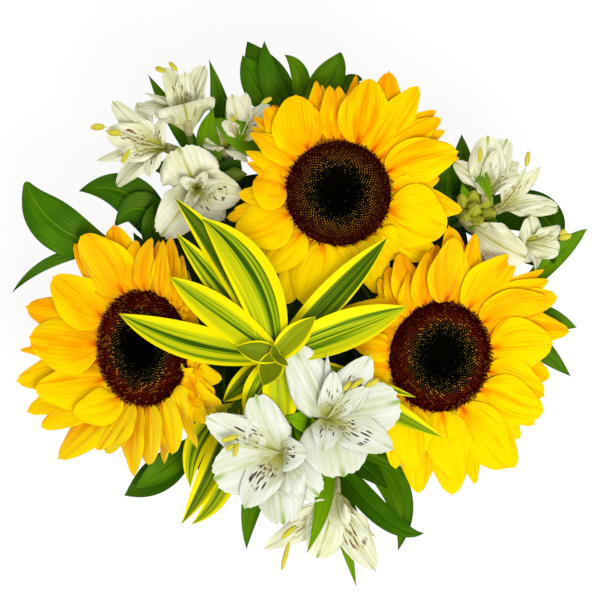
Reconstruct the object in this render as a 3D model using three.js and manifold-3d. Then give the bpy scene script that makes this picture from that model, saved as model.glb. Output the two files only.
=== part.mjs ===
// A cut, hand-tied bunch of flowers standing face up on its level-cut stem ends.
// Three large sunflower blooms lie round a rosette of striped strap leaves, with sprays of
// white trumpet flowers and broad green leaves between them, all bound at one tie.
// Millimetres. +X is the bunch's right, +Y its far side, +Z up; z = 0 is the ground.

import * as THREE from 'three';
import { mergeVertices } from 'three/addons/utils/BufferGeometryUtils.js';
import Module from 'manifold-3d';

const wasm = await Module();
wasm.setup();

// Driving dimensions of the whole bunch.
const FACE_HEIGHT = 152; // of the flower faces; every z in the lists below is from here
const TIE_HEIGHT = 66; // middle of the binding
const TIE_RADIUS = 24; // inside of the binding
const TIE_BAND = { height: 13, thickness: 2.2 };
const STEM_SLANT = THREE.MathUtils.degToRad(41); // lean of every stem where it passes the tie
const STEM_TWIST = 58; // degrees that a stem turns round the bunch from the tie to its flower
const STRAIGHT = 4; // how far above the binding a stem stays straight
const BEND = { fromTie: 0.4, toHead: 0.38 }; // how slowly a stem turns, as shares of its length
const BELOW_GROUND = 8; // stems are drawn this far down before their feet are cut level
const CLEARANCE = 0.3; // between a piece and the one that carries it

// Stem radii.
const SUNFLOWER_STEM = 5.2;
const FLOWER_STEM = 2.8;
const LEAF_STEM = 2.2;
const ROSETTE_STEM = 4;
const PEDICEL = 1.4;
const KNOB = { radius: 3.2, height: 6 }; // where the pedicels of a white flower stem meet
const BUD = { radius: 3.4, length: 16 };
const ROOT = 2; // how far a leaf fused to its stem starts beyond the stem's middle

// Thickness of each kind of blade at its rib.
const PETAL_THICKNESS = 1.2;
const TEPAL_THICKNESS = 1;
const LEAF_THICKNESS = 1.2;
const STRAP_THICKNESS = 1.5;

// Outline of each kind of blade: where along it the blade is widest, and how full its ends are.
const PETAL = { peak: 0.56, power: 0.75 };
const OUTER_TEPAL = { peak: 0.64, power: 0.65 };
const INNER_TEPAL = { peak: 0.6, power: 0.75 };
const STRAP = { peak: 0.42, power: 0.8 };
const LEAF = { peak: 0.45, power: 1 };

// Depth below a sunflower's rim of the parts behind its face.
const DISC = { edge: 1.7, dome: 3.5, dish: 1 };
const DRUM = { top: 2, bottom: 10, bevel: 2 };
const CALYX = { top: 10.3, bottom: 28 };
const BRACTS = { count: 9, depth: 15.3, reach: 9, width: 15, thickness: 1.2 };

// Each sunflower: its centre, disc radius, the tilt of its disc and of its petals, and the way it
// leans, in degrees. Petals are [angle, reach from the centre, width], seen from above.
const SUNFLOWERS = [
  {
    name: 'top', centre: [23, 73, 0], disc: 33, tilt: 5, petalTilt: 4, towards: 72, ring: 72,
    front: [
      [111, 63, 24], [94, 64, 14], [75, 72, 27], [53, 80, 22], [37, 75, 18], [21, 76, 26],
      [3, 70, 18], [-15, 66, 29], [-37, 54, 13], [-52, 54, 13], [-69, 65, 24], [-88, 58, 16],
      [-108, 69, 28], [-131, 62, 19], [-157, 66, 23], [-170, 68, 17], [171, 51, 23],
      [156, 60, 14], [141, 67, 17], [127, 66, 18],
    ],
    back: [
      [101, 68, 15], [65, 79, 20], [45, 77, 18], [30, 74, 17], [12, 75, 17], [-6, 74, 18],
      [-26, 68, 18], [-45, 62, 18], [-60, 60, 18], [-78, 62, 18], [-98, 66, 17],
      [-118, 73, 18], [-144, 62, 18], [-164, 64, 16], [178, 61, 16], [149, 64, 15],
    ],
  },
  {
    name: 'left', centre: [-94, -20, -8], disc: 36, tilt: 38, petalTilt: 22, towards: 184,
    ring: 186,
    front: [
      [118, 75, 27], [141, 69, 27], [160, 74, 25], [176, 67, 28], [197, 68, 25], [212, 76, 22],
      [228, 79, 23], [244, 70, 18], [257, 66, 15], [268, 76, 18], [279, 66, 19], [294, 66, 22],
      [314, 58, 19], [333, 54, 19], [352, 50, 17], [12, 48, 17], [33, 50, 16], [52, 55, 14],
      [68, 62, 13], [82, 64, 14], [94, 66, 15], [105, 70, 18],
    ],
    back: [
      [103, 74, 19], [126, 74, 20], [151, 73, 20], [168, 76, 20], [186, 77, 20], [204, 77, 20],
      [220, 77, 20], [236, 81, 18], [251, 68, 18], [263, 68, 16], [286, 65, 18], [303, 67, 18],
      [322, 56, 18], [342, 52, 18],
    ],
  },
  {
    name: 'right', centre: [84, -25, -2], disc: 34.5, tilt: 24, petalTilt: 14, towards: -15,
    ring: 340,
    front: [
      [86, 69, 24], [107, 60, 16], [122, 58, 15], [70, 74, 19], [52, 74, 26], [36, 76, 21],
      [22, 76, 20], [9, 68, 27], [-9, 68, 20], [-26, 70, 27], [-43, 72, 23], [-59, 78, 27],
      [-78, 76, 22], [-97, 72, 26], [-116, 66, 20], [-134, 60, 18], [-154, 55, 16],
      [-172, 54, 16], [170, 53, 15], [155, 60, 15], [139, 50, 14],
    ],
    back: [
      [79, 76, 20], [98, 66, 18], [61, 76, 18], [43, 80, 20], [29, 78, 19], [14, 78, 20],
      [0, 70, 20], [-18, 70, 20], [-34, 72, 20], [-51, 77, 20], [-68, 78, 20], [-86, 82, 22],
      [-104, 82, 20], [-125, 66, 18], [-145, 60, 18], [-163, 57, 17], [147, 56, 16],
      [130, 55, 15],
    ],
  },
];

// Each white flower: the middle of its throat, the way it faces, and its six tepals in turn,
// outer then inner, as [angle, reach from the throat, rise, width].
const WHITE_FLOWERS = {
  centre: {
    ring: 264, umbel: [2, -62, -52], rise: [0.05, -0.3, 1],
    flowers: [
      {
        name: 'lower', throat: [-13, -80, 14], faces: [-0.35, -0.1, 0.93],
        tepals: [
          [102, 35, 16, 22], [155, 46, 12, 21], [202, 42, 8, 27], [250, 39, 6, 20],
          [290, 38, 8, 28], [351, 14, 16, 10],
        ],
      },
      {
        name: 'upper', throat: [17, -62, 18], faces: [0.15, 0.05, 0.98],
        tepals: [
          [14, 44, 12, 30], [60, 42, 16, 20], [114, 44, 18, 24], [248, 16, 14, 11],
          [285, 35, 6, 36], [335, 41, 9, 22],
        ],
      },
      {
        name: 'low', throat: [15, -113, -14], faces: [0.05, -0.8, 0.6],
        tepals: [
          [217, 43, -5, 18], [285, 34, 3, 18], [304, 50, -7, 20], [326, 36, 0, 9],
          [253, 31, -12, 17], [194, 22, 5, 12],
        ],
      },
    ],
    leaves: [
      { at: 1, tip: [4, -143, -2], width: 11, arch: 20 },
      { at: 0.92, tip: [75, -133, -34], width: 14, arch: 4, bow: 9 },
      { at: 0.86, tip: [60, -141, -40], width: 18, arch: 4 },
      { at: 0.92, tip: [35, -164, -40], width: 11, arch: 6 },
      { at: 0.8, tip: [-32, -142, -42], width: 11, arch: 6 },
      { at: 1, tip: [76, -95, -12], width: 8, arch: 2 },
      { at: 1, tip: [0, -66, 6], width: 11, arch: 0, roll: 70 },
      { at: 1, tip: [8, -82, 0], width: 10, arch: 0, roll: 40 },
    ],
    buds: [],
  },
  left: {
    ring: 128, umbel: [-56, 84, -46], rise: [-0.4, 0.5, 1],
    flowers: [
      {
        name: 'outer', throat: [-86, 103, -12], faces: [-0.8, 0.15, 0.55],
        tepals: [
          [137, 38, 4, 17], [194, 37, -2, 9], [222, 36, -9, 15], [244, 21, 8, 14],
          [122, 30, -10, 14], [81, 13, 11, 10],
        ],
      },
      {
        name: 'top', throat: [-70, 124, -10], faces: [-0.15, 0.7, 0.68],
        tepals: [
          [175, 32, -4, 18], [215, 17, 10, 13], [250, 13, 13, 26], [18, 20, 10, 14],
          [62, 31, 2, 16], [110, 27, 9, 12],
        ],
      },
      {
        name: 'inner', throat: [-62, 75, -10], faces: [0.05, -0.15, 0.98],
        tepals: [
          [107, 28, 6, 35], [30, 14, 8, 9], [-7, 26, 4, 26], [-41, 24, 0, 13],
          [232, 36, 0, 20], [264, 15, 6, 10],
        ],
      },
      {
        name: 'far', throat: [-35, 112, -19], faces: [-0.05, 0.55, 0.83],
        tepals: [
          [113, 22, 4, 13], [87, 22, -1, 11], [41, 20, 3, 13], [0, 12, 6, 9],
          [200, 10, 8, 13], [150, 12, 7, 9],
        ],
      },
      {
        name: 'back', throat: [-48, 106, -28], faces: [-0.2, 0.6, 0.75],
        tepals: [
          [133, 19, 2, 12], [160, 14, 4, 8], [196, 13, 3, 11], [240, 9, 4, 7],
          [95, 13, 2, 10], [60, 8, 4, 7],
        ],
      },
    ],
    leaves: [
      { at: 0.8, tip: [-55, 155, -34], width: 12, arch: 4 },
      { at: 0.9, tip: [-92, 145, -30], width: 9, arch: 6 },
      { at: 1, tip: [-52, 123, 0], width: 13, arch: 3, bow: 5 },
      { at: 0.85, tip: [-92, 92, -40], width: 11, arch: 0 },
      { at: 0.8, tip: [-36, 80, -36], width: 11, arch: 0 },
    ],
    buds: [[-33, 84, -20], [-38, 76, -24]],
  },
  right: {
    ring: 36, umbel: [103, 58, -44], rise: [0.6, 0.3, 1],
    flowers: [
      {
        name: 'top', throat: [113, 79, -8], faces: [0.05, 0.6, 0.8],
        tepals: [
          [86, 28, 7, 20], [50, 27, 9, 14], [24, 25, 5, 18], [-5, 15, 9, 9],
          [152, 24, 0, 13], [108, 20, 12, 12],
        ],
      },
      {
        name: 'outer', throat: [128, 67, -12], faces: [0.6, 0.3, 0.74],
        tepals: [
          [-8, 27, -2, 11], [57, 27, 5, 8], [90, 12, 9, 10], [150, 8, 8, 8],
          [20, 17, -4, 12], [-40, 12, 5, 9],
        ],
      },
      {
        name: 'low', throat: [111, 46, -11], faces: [0.6, -0.55, 0.58],
        tepals: [
          [-22, 28, 11, 21], [-50, 22, -14, 9], [-78, 19, -15, 14], [-125, 10, 2, 7],
          [16, 17, -9, 12], [70, 9, 6, 7],
        ],
      },
      {
        name: 'side', throat: [142, 46, -20], faces: [0.8, -0.1, 0.58],
        tepals: [
          [95, 14, 7, 16], [22, 16, 2, 13], [-22, 15, -4, 14], [-52, 18, -6, 9],
          [-110, 12, 4, 15], [150, 6, 8, 8],
        ],
      },
    ],
    leaves: [
      { at: 0.86, tip: [97, 109, -28], width: 17, arch: 4 },
      { at: 0.9, tip: [113, 67, 6], width: 8, arch: 0, roll: 40 },
      { at: 0.8, tip: [158, 38, -40], width: 20, arch: 4, bow: -8 },
      { at: 0.9, tip: [152, 43, -32], width: 4, arch: 2 },
    ],
    buds: [[97, 68, -14], [104, 68, -6], [94, 60, -20]],
  },
};

// Leaves of the striped rosette: level on its stem, tip, width and rise of the blade's middle.
const ROSETTE = {
  head: [-14, -24, 33],
  against: 340, // place in the ring of the stem that its own stem leans on
  leaves: {
    west: { level: 26, tip: [-109, 1, 6], width: 21, arch: 4, bow: 5 },
    north_west: { level: 29, tip: [-78, 23, 18], width: 20, arch: 3 },
    far_west: { level: 16, tip: [-74, 49, 13], width: 15, arch: 2 },
    far_north: { level: 19, tip: [-75, 70, 10], width: 18, arch: 4, bow: -5 },
    north: { level: 24, tip: [-59, 58, 15], width: 26, arch: 8, bow: -10 },
    north_east: { level: 18, tip: [52, 46, 14], width: 18, arch: 2 },
    east: { level: 24, tip: [64, 5, 24], width: 23, arch: 2 },
    south: { level: 22, tip: [-8, -68, 10], width: 18, arch: 2 },
    south_west: { level: 20, tip: [-38, -58, 6], width: 15, arch: 2 },
    low_south_west: { level: 8, tip: [-46, -52, -2], width: 13, arch: 2 },
    south_east: { level: 11, tip: [85, -73, 14], width: 16, arch: 1 },
    low_east: { level: 14, tip: [69, -49, 21], width: 9, arch: 0 },
  },
  heart: [
    { tip: [9, -1, 38], width: 14, arch: -3 },
    { tip: [-38, -19, 37], width: 13, arch: -2 },
    { tip: [-22, -41, 36], width: 13, arch: -3 },
    { tip: [-6, -36, 34], width: 10, arch: -2 },
  ],
};

// Second striped shoot, low at the near left, and the sprays of green leaves.
const SPRAYS = [
  {
    name: 'striped_shoot', striped: true, ring: 240, radius: 2.6, end: [-43, -60, -22],
    arrives: [-0.5, -0.6, 0.6],
    leaves: [
      { at: 0.97, tip: [-64, -104, -12], width: 13, arch: 3, bow: 5 },
      { at: 0.96, tip: [-71, -128, -20], width: 15, arch: 4 },
      { at: 0.9, tip: [-64, -127, -29], width: 12, arch: 3, bow: -4 },
    ],
  },
  {
    name: 'leaf_spray_left', ring: 150, radius: LEAF_STEM, end: [-112, 40, -40],
    arrives: [-1, 0.3, 0],
    leaves: [
      { at: 0.97, tip: [-163, 80, -34], width: 22, arch: 8, bow: -8 },
      { at: 0.97, tip: [-174, 13, -36], width: 6, arch: 6, bow: 9 },
      { at: 0.76, tip: [-134, 75, -34], width: 23, arch: 6, bow: 3 },
      { at: 0.72, tip: [-108, 53, -26], width: 20, arch: 4, bow: 8 },
      { at: 0.7, tip: [-88, 45, -22], width: 9, arch: 4 },
    ],
  },
  {
    name: 'leaf_spray_top', ring: 106, radius: LEAF_STEM, end: [-2, 122, -38],
    arrives: [0, 1, 0.1],
    leaves: [
      { at: 0.94, tip: [-36, 155, -36], width: 22, arch: 5, bow: 4 },
      { at: 0.97, tip: [-22, 164, -32], width: 18, arch: 6 },
      { at: 0.97, tip: [-9, 158, -38], width: 15, arch: 4 },
      { at: 0.97, tip: [24, 157, -36], width: 19, arch: 4 },
      { at: 0.95, tip: [37, 143, -40], width: 12, arch: 2 },
      { at: 0.86, tip: [-53, 119, -46], width: 17, arch: 0 },
    ],
  },
  {
    name: 'leaf_spray_right', ring: 14, radius: LEAF_STEM, end: [132, 6, -42],
    arrives: [1, 0.1, 0],
    leaves: [
      { at: 0.97, tip: [174, 52, -34], width: 12, arch: 3, bow: -3 },
      { at: 0.97, tip: [168, -8, -40], width: 15, arch: 3 },
      { at: 0.9, tip: [164, -37, -44], width: 15, arch: 3 },
    ],
  },
  {
    name: 'leaf_spray_low', ring: 220, radius: LEAF_STEM, end: [-66, -80, -36],
    arrives: [-0.6, -0.8, 0],
    leaves: [
      { at: 0.97, tip: [-106, -110, -36], width: 16, arch: 4 },
      { at: 0.93, tip: [-101, -102, -30], width: 15, arch: 6, bow: 6 },
    ],
  },
];

// Colours of the finished parts.
const FINISHES = {
  petal: new THREE.MeshStandardMaterial({ color: 0xffc107, roughness: 0.55, metalness: 0 }),
  disc: new THREE.MeshStandardMaterial({ color: 0x2a1008, roughness: 0.9, metalness: 0 }),
  tepal: new THREE.MeshStandardMaterial({ color: 0xf4f5e6, roughness: 0.5, metalness: 0 }),
  striped: new THREE.MeshStandardMaterial({ color: 0xb7cf2e, roughness: 0.4, metalness: 0 }),
  leaf: new THREE.MeshStandardMaterial({ color: 0x2f7a17, roughness: 0.45, metalness: 0 }),
  stem: new THREE.MeshStandardMaterial({ color: 0x5f9132, roughness: 0.6, metalness: 0 }),
  tie: new THREE.MeshStandardMaterial({ color: 0xc9ad78, roughness: 0.85, metalness: 0 }),
};

const UP = new THREE.Vector3(0, 0, 1);

// A point of the lists above, lifted to the height of the flower faces.
const raised = ([x, y, z]) => new THREE.Vector3(x, y, z + FACE_HEIGHT);

const unit = ([x, y, z]) => new THREE.Vector3(x, y, z).normalize();

// The level direction that points along an angle in degrees.
function heading(degrees) {
  const angle = THREE.MathUtils.degToRad(degrees);
  return new THREE.Vector3(Math.cos(angle), Math.sin(angle), 0);
}

// The way a face looks when it leans by tilt towards an angle, both in degrees.
function leaning(tilt, towards) {
  const lean = THREE.MathUtils.degToRad(tilt);
  return heading(towards).multiplyScalar(Math.sin(lean)).addScaledVector(UP, Math.cos(lean));
}

// The same surface with shared corners merged and no empty triangles.
function closed(geometry) {
  const bare = geometry.clone();
  bare.deleteAttribute('uv');
  bare.deleteAttribute('normal');
  const merged = mergeVertices(bare, 1e-4);
  const index = Array.from(merged.index.array);
  const kept = [];
  for (let i = 0; i < index.length; i += 3) {
    const [a, b, c] = index.slice(i, i + 3);
    if (a !== b && b !== c && c !== a) kept.push(a, b, c);
  }
  merged.setIndex(kept);
  return merged;
}

function toSolid(geometry) {
  const mesh = closed(geometry);
  const solid = new wasm.Manifold(new wasm.Mesh({
    numProp: 3,
    vertProperties: new Float32Array(mesh.attributes.position.array),
    triVerts: new Uint32Array(mesh.index.array),
  }));
  if (solid.volume() <= 0) throw new Error('a surface faces inwards');
  return solid;
}

function toGeometry(solid) {
  const mesh = solid.getMesh();
  const geometry = new THREE.BufferGeometry();
  geometry.setAttribute('position', new THREE.BufferAttribute(mesh.vertProperties, 3));
  geometry.setIndex(new THREE.BufferAttribute(mesh.triVerts, 1));
  return geometry;
}

// One solid made of several overlapping surfaces.
const joined = (geometries) => geometries.map(toSolid).reduce((all, next) => all.add(next));

// How wide a blade is at t along it, as a share of its full width.
function fullness({ peak, power }, t) {
  const k = Math.log(0.5) / Math.log(peak);
  return Math.sin(Math.PI * t ** k) ** power;
}

// A thin closed blade along a curve: a four-sided spindle pressed flat, pointed at both ends.
function blade(curve, { outline, width, thickness, facing, cup = 0, rows = 4 }) {
  const geometry = closed(new THREE.SphereGeometry(1, 4, rows));
  const { position } = geometry.attributes;
  for (let i = 0; i < position.count; i += 1) {
    const corner = new THREE.Vector3().fromBufferAttribute(position, i);
    const t = Math.acos(THREE.MathUtils.clamp(corner.y, -1, 1)) / Math.PI;
    const ring = Math.max(Math.hypot(corner.x, corner.z), 1e-6);
    const isEnd = ring < 1e-3;
    const across = isEnd ? 0 : corner.x / ring;
    const through = isEnd ? 0 : corner.z / ring;
    const tangent = curve.getTangent(t);
    const side = new THREE.Vector3().crossVectors(facing, tangent).normalize();
    const normal = new THREE.Vector3().crossVectors(tangent, side).normalize();
    const half = isEnd ? 0 : (width / 2) * fullness(outline, t);
    const point = curve.getPoint(t).addScaledVector(side, across * half);
    point.addScaledVector(normal, through * thickness / 2 + cup * half * Math.abs(across));
    position.setXYZ(i, point.x, point.y, point.z);
  }
  return geometry;
}

// Narrow petals and tepals have one ring of corners fewer.
const NARROW = 24;
const rowsFor = (width) => (width < NARROW ? 3 : 4);

// The middle line of a leaf from base to tip, arched up and bowed to its left.
function leafCurve(base, tip, { arch = 0, bow = 0 }) {
  const side = new THREE.Vector3().crossVectors(UP, tip.clone().sub(base)).normalize();
  const middle = base.clone().lerp(tip, 0.5);
  middle.addScaledVector(UP, 2 * arch).addScaledVector(side, 2 * bow);
  return new THREE.QuadraticBezierCurve3(base, middle, tip);
}

// A strap or green leaf: a curve, and a face turned by roll degrees about it.
function leafBlade(base, leaf, { outline, thickness, cup, rows, sunk = 0 }) {
  const tip = raised(leaf.tip);
  const chord = tip.clone().sub(base).normalize();
  const root = base.clone().addScaledVector(chord, -sunk);
  const roll = THREE.MathUtils.degToRad(leaf.roll ?? 0);
  const facing = UP.clone().applyAxisAngle(chord, roll);
  const curve = leafCurve(root, tip, leaf);
  return blade(curve, { outline, width: leaf.width, thickness, facing, cup, rows });
}

// A round rod along a curve.
function rod(curve, radius, sides, steps) {
  const corners = [];
  for (let i = 0; i < sides; i += 1) {
    const angle = (2 * Math.PI * i) / sides;
    corners.push(new THREE.Vector2(radius * Math.cos(angle), radius * Math.sin(angle)));
  }
  return new THREE.ExtrudeGeometry(new THREE.Shape(corners), { steps, extrudePath: curve });
}

// A turned solid on an axis: its profile is [radius, height] from the bottom up.
function turned(profile, segments, foot, axis) {
  const points = profile.map(([radius, height]) => new THREE.Vector2(radius, height));
  const geometry = new THREE.LatheGeometry(points, segments);
  const turn = new THREE.Quaternion().setFromUnitVectors(new THREE.Vector3(0, 1, 0), axis);
  return geometry.applyQuaternion(turn).translate(foot.x, foot.y, foot.z);
}

// How far from the middle of the tie a slanted stem runs, so that the band just clears it.
function waistRadius(radius) {
  const inside = TIE_RADIUS - 2 * CLEARANCE - 1.05 * radius;
  const spread = (TIE_BAND.height / 2) * Math.tan(STEM_SLANT);
  return Math.sqrt(inside ** 2 - spread ** 2);
}

// The path of a stem: straight up through the tie on a slant, then in a bend to its head.
class StemCurve extends THREE.Curve {
  constructor(ring, radius, end, arrives) {
    super();
    const outwards = heading(ring - STEM_TWIST);
    const along = new THREE.Vector3().crossVectors(UP, outwards);
    const slant = along.multiplyScalar(Math.sin(STEM_SLANT));
    slant.addScaledVector(UP, Math.cos(STEM_SLANT));
    const waist = outwards.clone().multiplyScalar(waistRadius(radius));
    waist.z = TIE_HEIGHT;
    const down = (TIE_HEIGHT + BELOW_GROUND) / slant.z;
    const reach = waist.distanceTo(end);
    this.foot = waist.clone().addScaledVector(slant, -down);
    this.waist = waist.addScaledVector(slant, (TIE_BAND.height / 2 + STRAIGHT) / slant.z);
    this.upper = new THREE.CubicBezierCurve3(
      this.waist,
      this.waist.clone().addScaledVector(slant, BEND.fromTie * reach),
      end.clone().addScaledVector(arrives, -BEND.toHead * reach),
      end,
    );
    this.share = down / (down + reach);
  }

  getPoint(t, target = new THREE.Vector3()) {
    if (t < this.share) return target.lerpVectors(this.foot, this.waist, t / this.share);
    return this.upper.getPoint((t - this.share) / (1 - this.share), target);
  }

  // The point at a share of the way from the tie to the head.
  above(share) {
    return this.upper.getPoint(share);
  }
}

// The ground under the bunch, which every stem is cut level with.
const ground = toSolid(new THREE.BoxGeometry(400, 400, 40).translate(0, 0, -20));

const STEM_STEPS = 9;

function stemSolid(curve, radius, sides) {
  return toSolid(rod(curve, radius, sides, STEM_STEPS)).subtract(ground);
}

const model = new THREE.Group();

function addPart(name, geometry, finish) {
  const mesh = new THREE.Mesh(geometry, FINISHES[finish]);
  mesh.name = name;
  model.add(mesh);
}

// The seed disc: a low dome with a dished middle.
function discGeometry({ disc }, centre, axis) {
  const profile = [
    [0, 0], [disc, 0], [disc, DISC.edge], [disc * 0.75, DISC.edge + DISC.dome],
    [disc * 0.3, DISC.edge + DISC.dish], [0, DISC.edge],
  ];
  return turned(profile, 20, centre.clone().addScaledVector(axis, -DISC.edge), axis);
}

// The two rows of petals: how deep they are rooted, how high their tips and middles lie, and how
// far each petal is turned about its own length and bent across it.
const FRONT_LAYER = { depth: 5.6, lift: 1, rise: 9, roll: 14, cup: -0.12 };
const BACK_LAYER = { depth: 7.4, lift: -7, rise: 3, roll: 10, cup: -0.1 };
const PETAL_ROOT = 3; // how far inside the disc's rim a petal starts
const PETAL_CREST = 0.4; // where along its free length a petal stands highest

// The middle line of one petal, from under the disc's rim to its tip.
function petalCurve(bloom, centre, axis, [angle, reach], layer) {
  const level = heading(angle);
  const outwards = level.clone().projectOnPlane(axis).normalize();
  const base = centre.clone().addScaledVector(outwards, bloom.disc - PETAL_ROOT);
  base.addScaledVector(axis, -layer.depth);
  const plane = leaning(bloom.petalTilt, bloom.towards);
  const tip = centre.clone().addScaledVector(level, reach);
  tip.z -= (plane.x * (tip.x - centre.x) + plane.y * (tip.y - centre.y)) / plane.z;
  tip.z += layer.lift;
  const middle = base.clone().addScaledVector(outwards, (reach - bloom.disc) * PETAL_CREST);
  middle.addScaledVector(axis, layer.rise);
  return new THREE.QuadraticBezierCurve3(base, middle, tip);
}

function petalBlades(bloom, centre, axis, petals, layer) {
  return petals.map((petal) => {
    const curve = petalCurve(bloom, centre, axis, petal, layer);
    const chord = curve.v2.clone().sub(curve.v0).normalize();
    const facing = axis.clone().applyAxisAngle(chord, THREE.MathUtils.degToRad(layer.roll));
    return blade(curve, {
      outline: PETAL, width: petal[2], thickness: PETAL_THICKNESS, facing,
      cup: layer.cup, rows: rowsFor(petal[2]),
    });
  });
}

// The yellow ray: both rows of petals rooted in the drum behind the disc.
function rayGeometry(bloom, centre, axis) {
  const rim = bloom.disc + 0.5;
  const deep = DRUM.bottom - DRUM.top;
  const drum = [[0, 0], [rim - 1.5, 0], [rim, DRUM.bevel], [rim, deep], [0, deep]];
  const foot = centre.clone().addScaledVector(axis, -DRUM.bottom);
  return toGeometry(joined([
    turned(drum, 20, foot, axis),
    ...petalBlades(bloom, centre, axis, bloom.front, FRONT_LAYER),
    ...petalBlades(bloom, centre, axis, bloom.back, BACK_LAYER),
  ]));
}

// The green cup behind the petals, with its ring of pointed bracts.
function calyxGeometry(bloom, centre, axis) {
  const deep = CALYX.bottom - CALYX.top;
  const cup = [
    [0, 0], [SUNFLOWER_STEM + 1.5, 0], [bloom.disc * 0.55, deep * 0.3],
    [bloom.disc * 0.86, deep * 0.72], [bloom.disc * 0.9, deep], [0, deep],
  ];
  const foot = centre.clone().addScaledVector(axis, -CALYX.bottom);
  const start = new THREE.Vector3().crossVectors(axis, new THREE.Vector3(0, 1, 0)).normalize();
  const bracts = [];
  const level = centre.clone().addScaledVector(axis, -BRACTS.depth);
  for (let i = 0; i < BRACTS.count; i += 1) {
    const outwards = start.clone().applyAxisAngle(axis, (2 * Math.PI * i) / BRACTS.count);
    const base = level.clone().addScaledVector(outwards, bloom.disc * 0.7);
    const tip = level.clone().addScaledVector(outwards, bloom.disc + BRACTS.reach);
    bracts.push(blade(new THREE.LineCurve3(base, tip), {
      outline: LEAF, width: BRACTS.width, thickness: BRACTS.thickness, facing: axis, rows: 3,
    }));
  }
  return toGeometry(joined([turned(cup, 16, foot, axis), ...bracts]));
}

for (const bloom of SUNFLOWERS) {
  const centre = raised(bloom.centre);
  const axis = leaning(bloom.tilt, bloom.towards);
  const neck = centre.clone().addScaledVector(axis, -CALYX.bottom - CLEARANCE);
  const curve = new StemCurve(bloom.ring, SUNFLOWER_STEM, neck, axis);
  addPart(`sunflower_${bloom.name}_disc`, discGeometry(bloom, centre, axis), 'disc');
  addPart(`sunflower_${bloom.name}_petals`, rayGeometry(bloom, centre, axis), 'petal');
  addPart(`sunflower_${bloom.name}_calyx`, calyxGeometry(bloom, centre, axis), 'leaf');
  const stem = stemSolid(curve, SUNFLOWER_STEM, 8);
  addPart(`sunflower_${bloom.name}_stem`, toGeometry(stem), 'stem');
}

// Seed pod under a white flower, from its joint with the pedicel up into the throat.
const OVARY = { length: 20, profile: [[0, 0], [1.7, 0], [3, 5], [2.4, 11], [0, 13]] };
const TEPAL_ROOT = 11; // depth below the throat's middle where the tepals start
const TEPAL_FLARE = { rise: 3, spread: 0.2 }; // how far a tepal stands up before it turns out

// The middle line of one tepal, up out of the throat and then outwards to its tip.
function tepalCurve(throat, axis, [angle, reach, rise]) {
  const base = throat.clone().addScaledVector(axis, -TEPAL_ROOT);
  const spread = heading(angle).multiplyScalar(reach).addScaledVector(UP, rise);
  const tip = throat.clone().add(spread);
  const middle = throat.clone().addScaledVector(axis, TEPAL_FLARE.rise);
  middle.addScaledVector(spread, TEPAL_FLARE.spread);
  return new THREE.QuadraticBezierCurve3(base, middle, tip);
}

// One white flower: six tepals, outer and inner in turn, fused to their seed pod.
function whiteFlowerGeometry({ throat, faces, tepals }) {
  const middle = raised(throat);
  const axis = unit(faces);
  const blades = tepals.map((tepal, i) => {
    const curve = tepalCurve(middle, axis, tepal);
    const spread = heading(tepal[0]);
    return blade(curve, {
      outline: i % 2 ? INNER_TEPAL : OUTER_TEPAL, width: tepal[3], cup: 0.1,
      thickness: TEPAL_THICKNESS, facing: axis.clone().sub(spread).normalize(),
      rows: rowsFor(tepal[3]),
    });
  });
  const foot = middle.clone().addScaledVector(axis, -OVARY.length);
  return toGeometry(joined([turned(OVARY.profile, 6, foot, axis), ...blades]));
}

// The pedicel from the head of a stem to the foot of one flower.
function pedicel(umbel, { throat, faces }) {
  const axis = unit(faces);
  const end = raised(throat).addScaledVector(axis, -OVARY.length - CLEARANCE);
  const bend = end.clone().addScaledVector(axis, -0.5 * umbel.distanceTo(end));
  return rod(new THREE.QuadraticBezierCurve3(umbel, bend, end), PEDICEL, 4, 3);
}

// A closed bud, pointed at both ends, on a thin stalk of its own.
function budPieces(umbel, place) {
  const tip = raised(place);
  const axis = tip.clone().sub(umbel).normalize();
  const foot = tip.clone().addScaledVector(axis, -BUD.length);
  const stalk = new THREE.LineCurve3(umbel, foot.clone().addScaledVector(axis, 2));
  return [
    turned([[0, 0], [BUD.radius, BUD.length * 0.45], [0, BUD.length]], 6, foot, axis),
    rod(stalk, PEDICEL, 4, 1),
  ];
}

// The stem of a group of white flowers, with its pedicels, narrow leaves and buds.
function flowerStemGeometry({ ring, umbel, rise, flowers, leaves, buds }) {
  const head = raised(umbel);
  const curve = new StemCurve(ring, FLOWER_STEM, head, unit(rise));
  const knob = [[0, 0], [KNOB.radius, KNOB.height / 2], [0, KNOB.height]];
  const pieces = [
    turned(knob, 7, head.clone().addScaledVector(UP, -KNOB.height / 2), UP),
    ...flowers.map((flower) => pedicel(head, flower)),
    ...leaves.map((leaf) => leafBlade(curve.above(leaf.at), leaf, {
      outline: LEAF, thickness: LEAF_THICKNESS, cup: 0.15, rows: 4, sunk: ROOT,
    })),
    ...buds.flatMap((place) => budPieces(head, place)),
  ];
  return toGeometry(stemSolid(curve, FLOWER_STEM, 7).add(joined(pieces)));
}

for (const [side, group] of Object.entries(WHITE_FLOWERS)) {
  addPart(`white_flower_stem_${side}`, flowerStemGeometry(group), 'stem');
  for (const flower of group.flowers) {
    const name = `white_flower_${side}_${flower.name}`;
    addPart(name, whiteFlowerGeometry(flower), 'tepal');
  }
}

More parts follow.
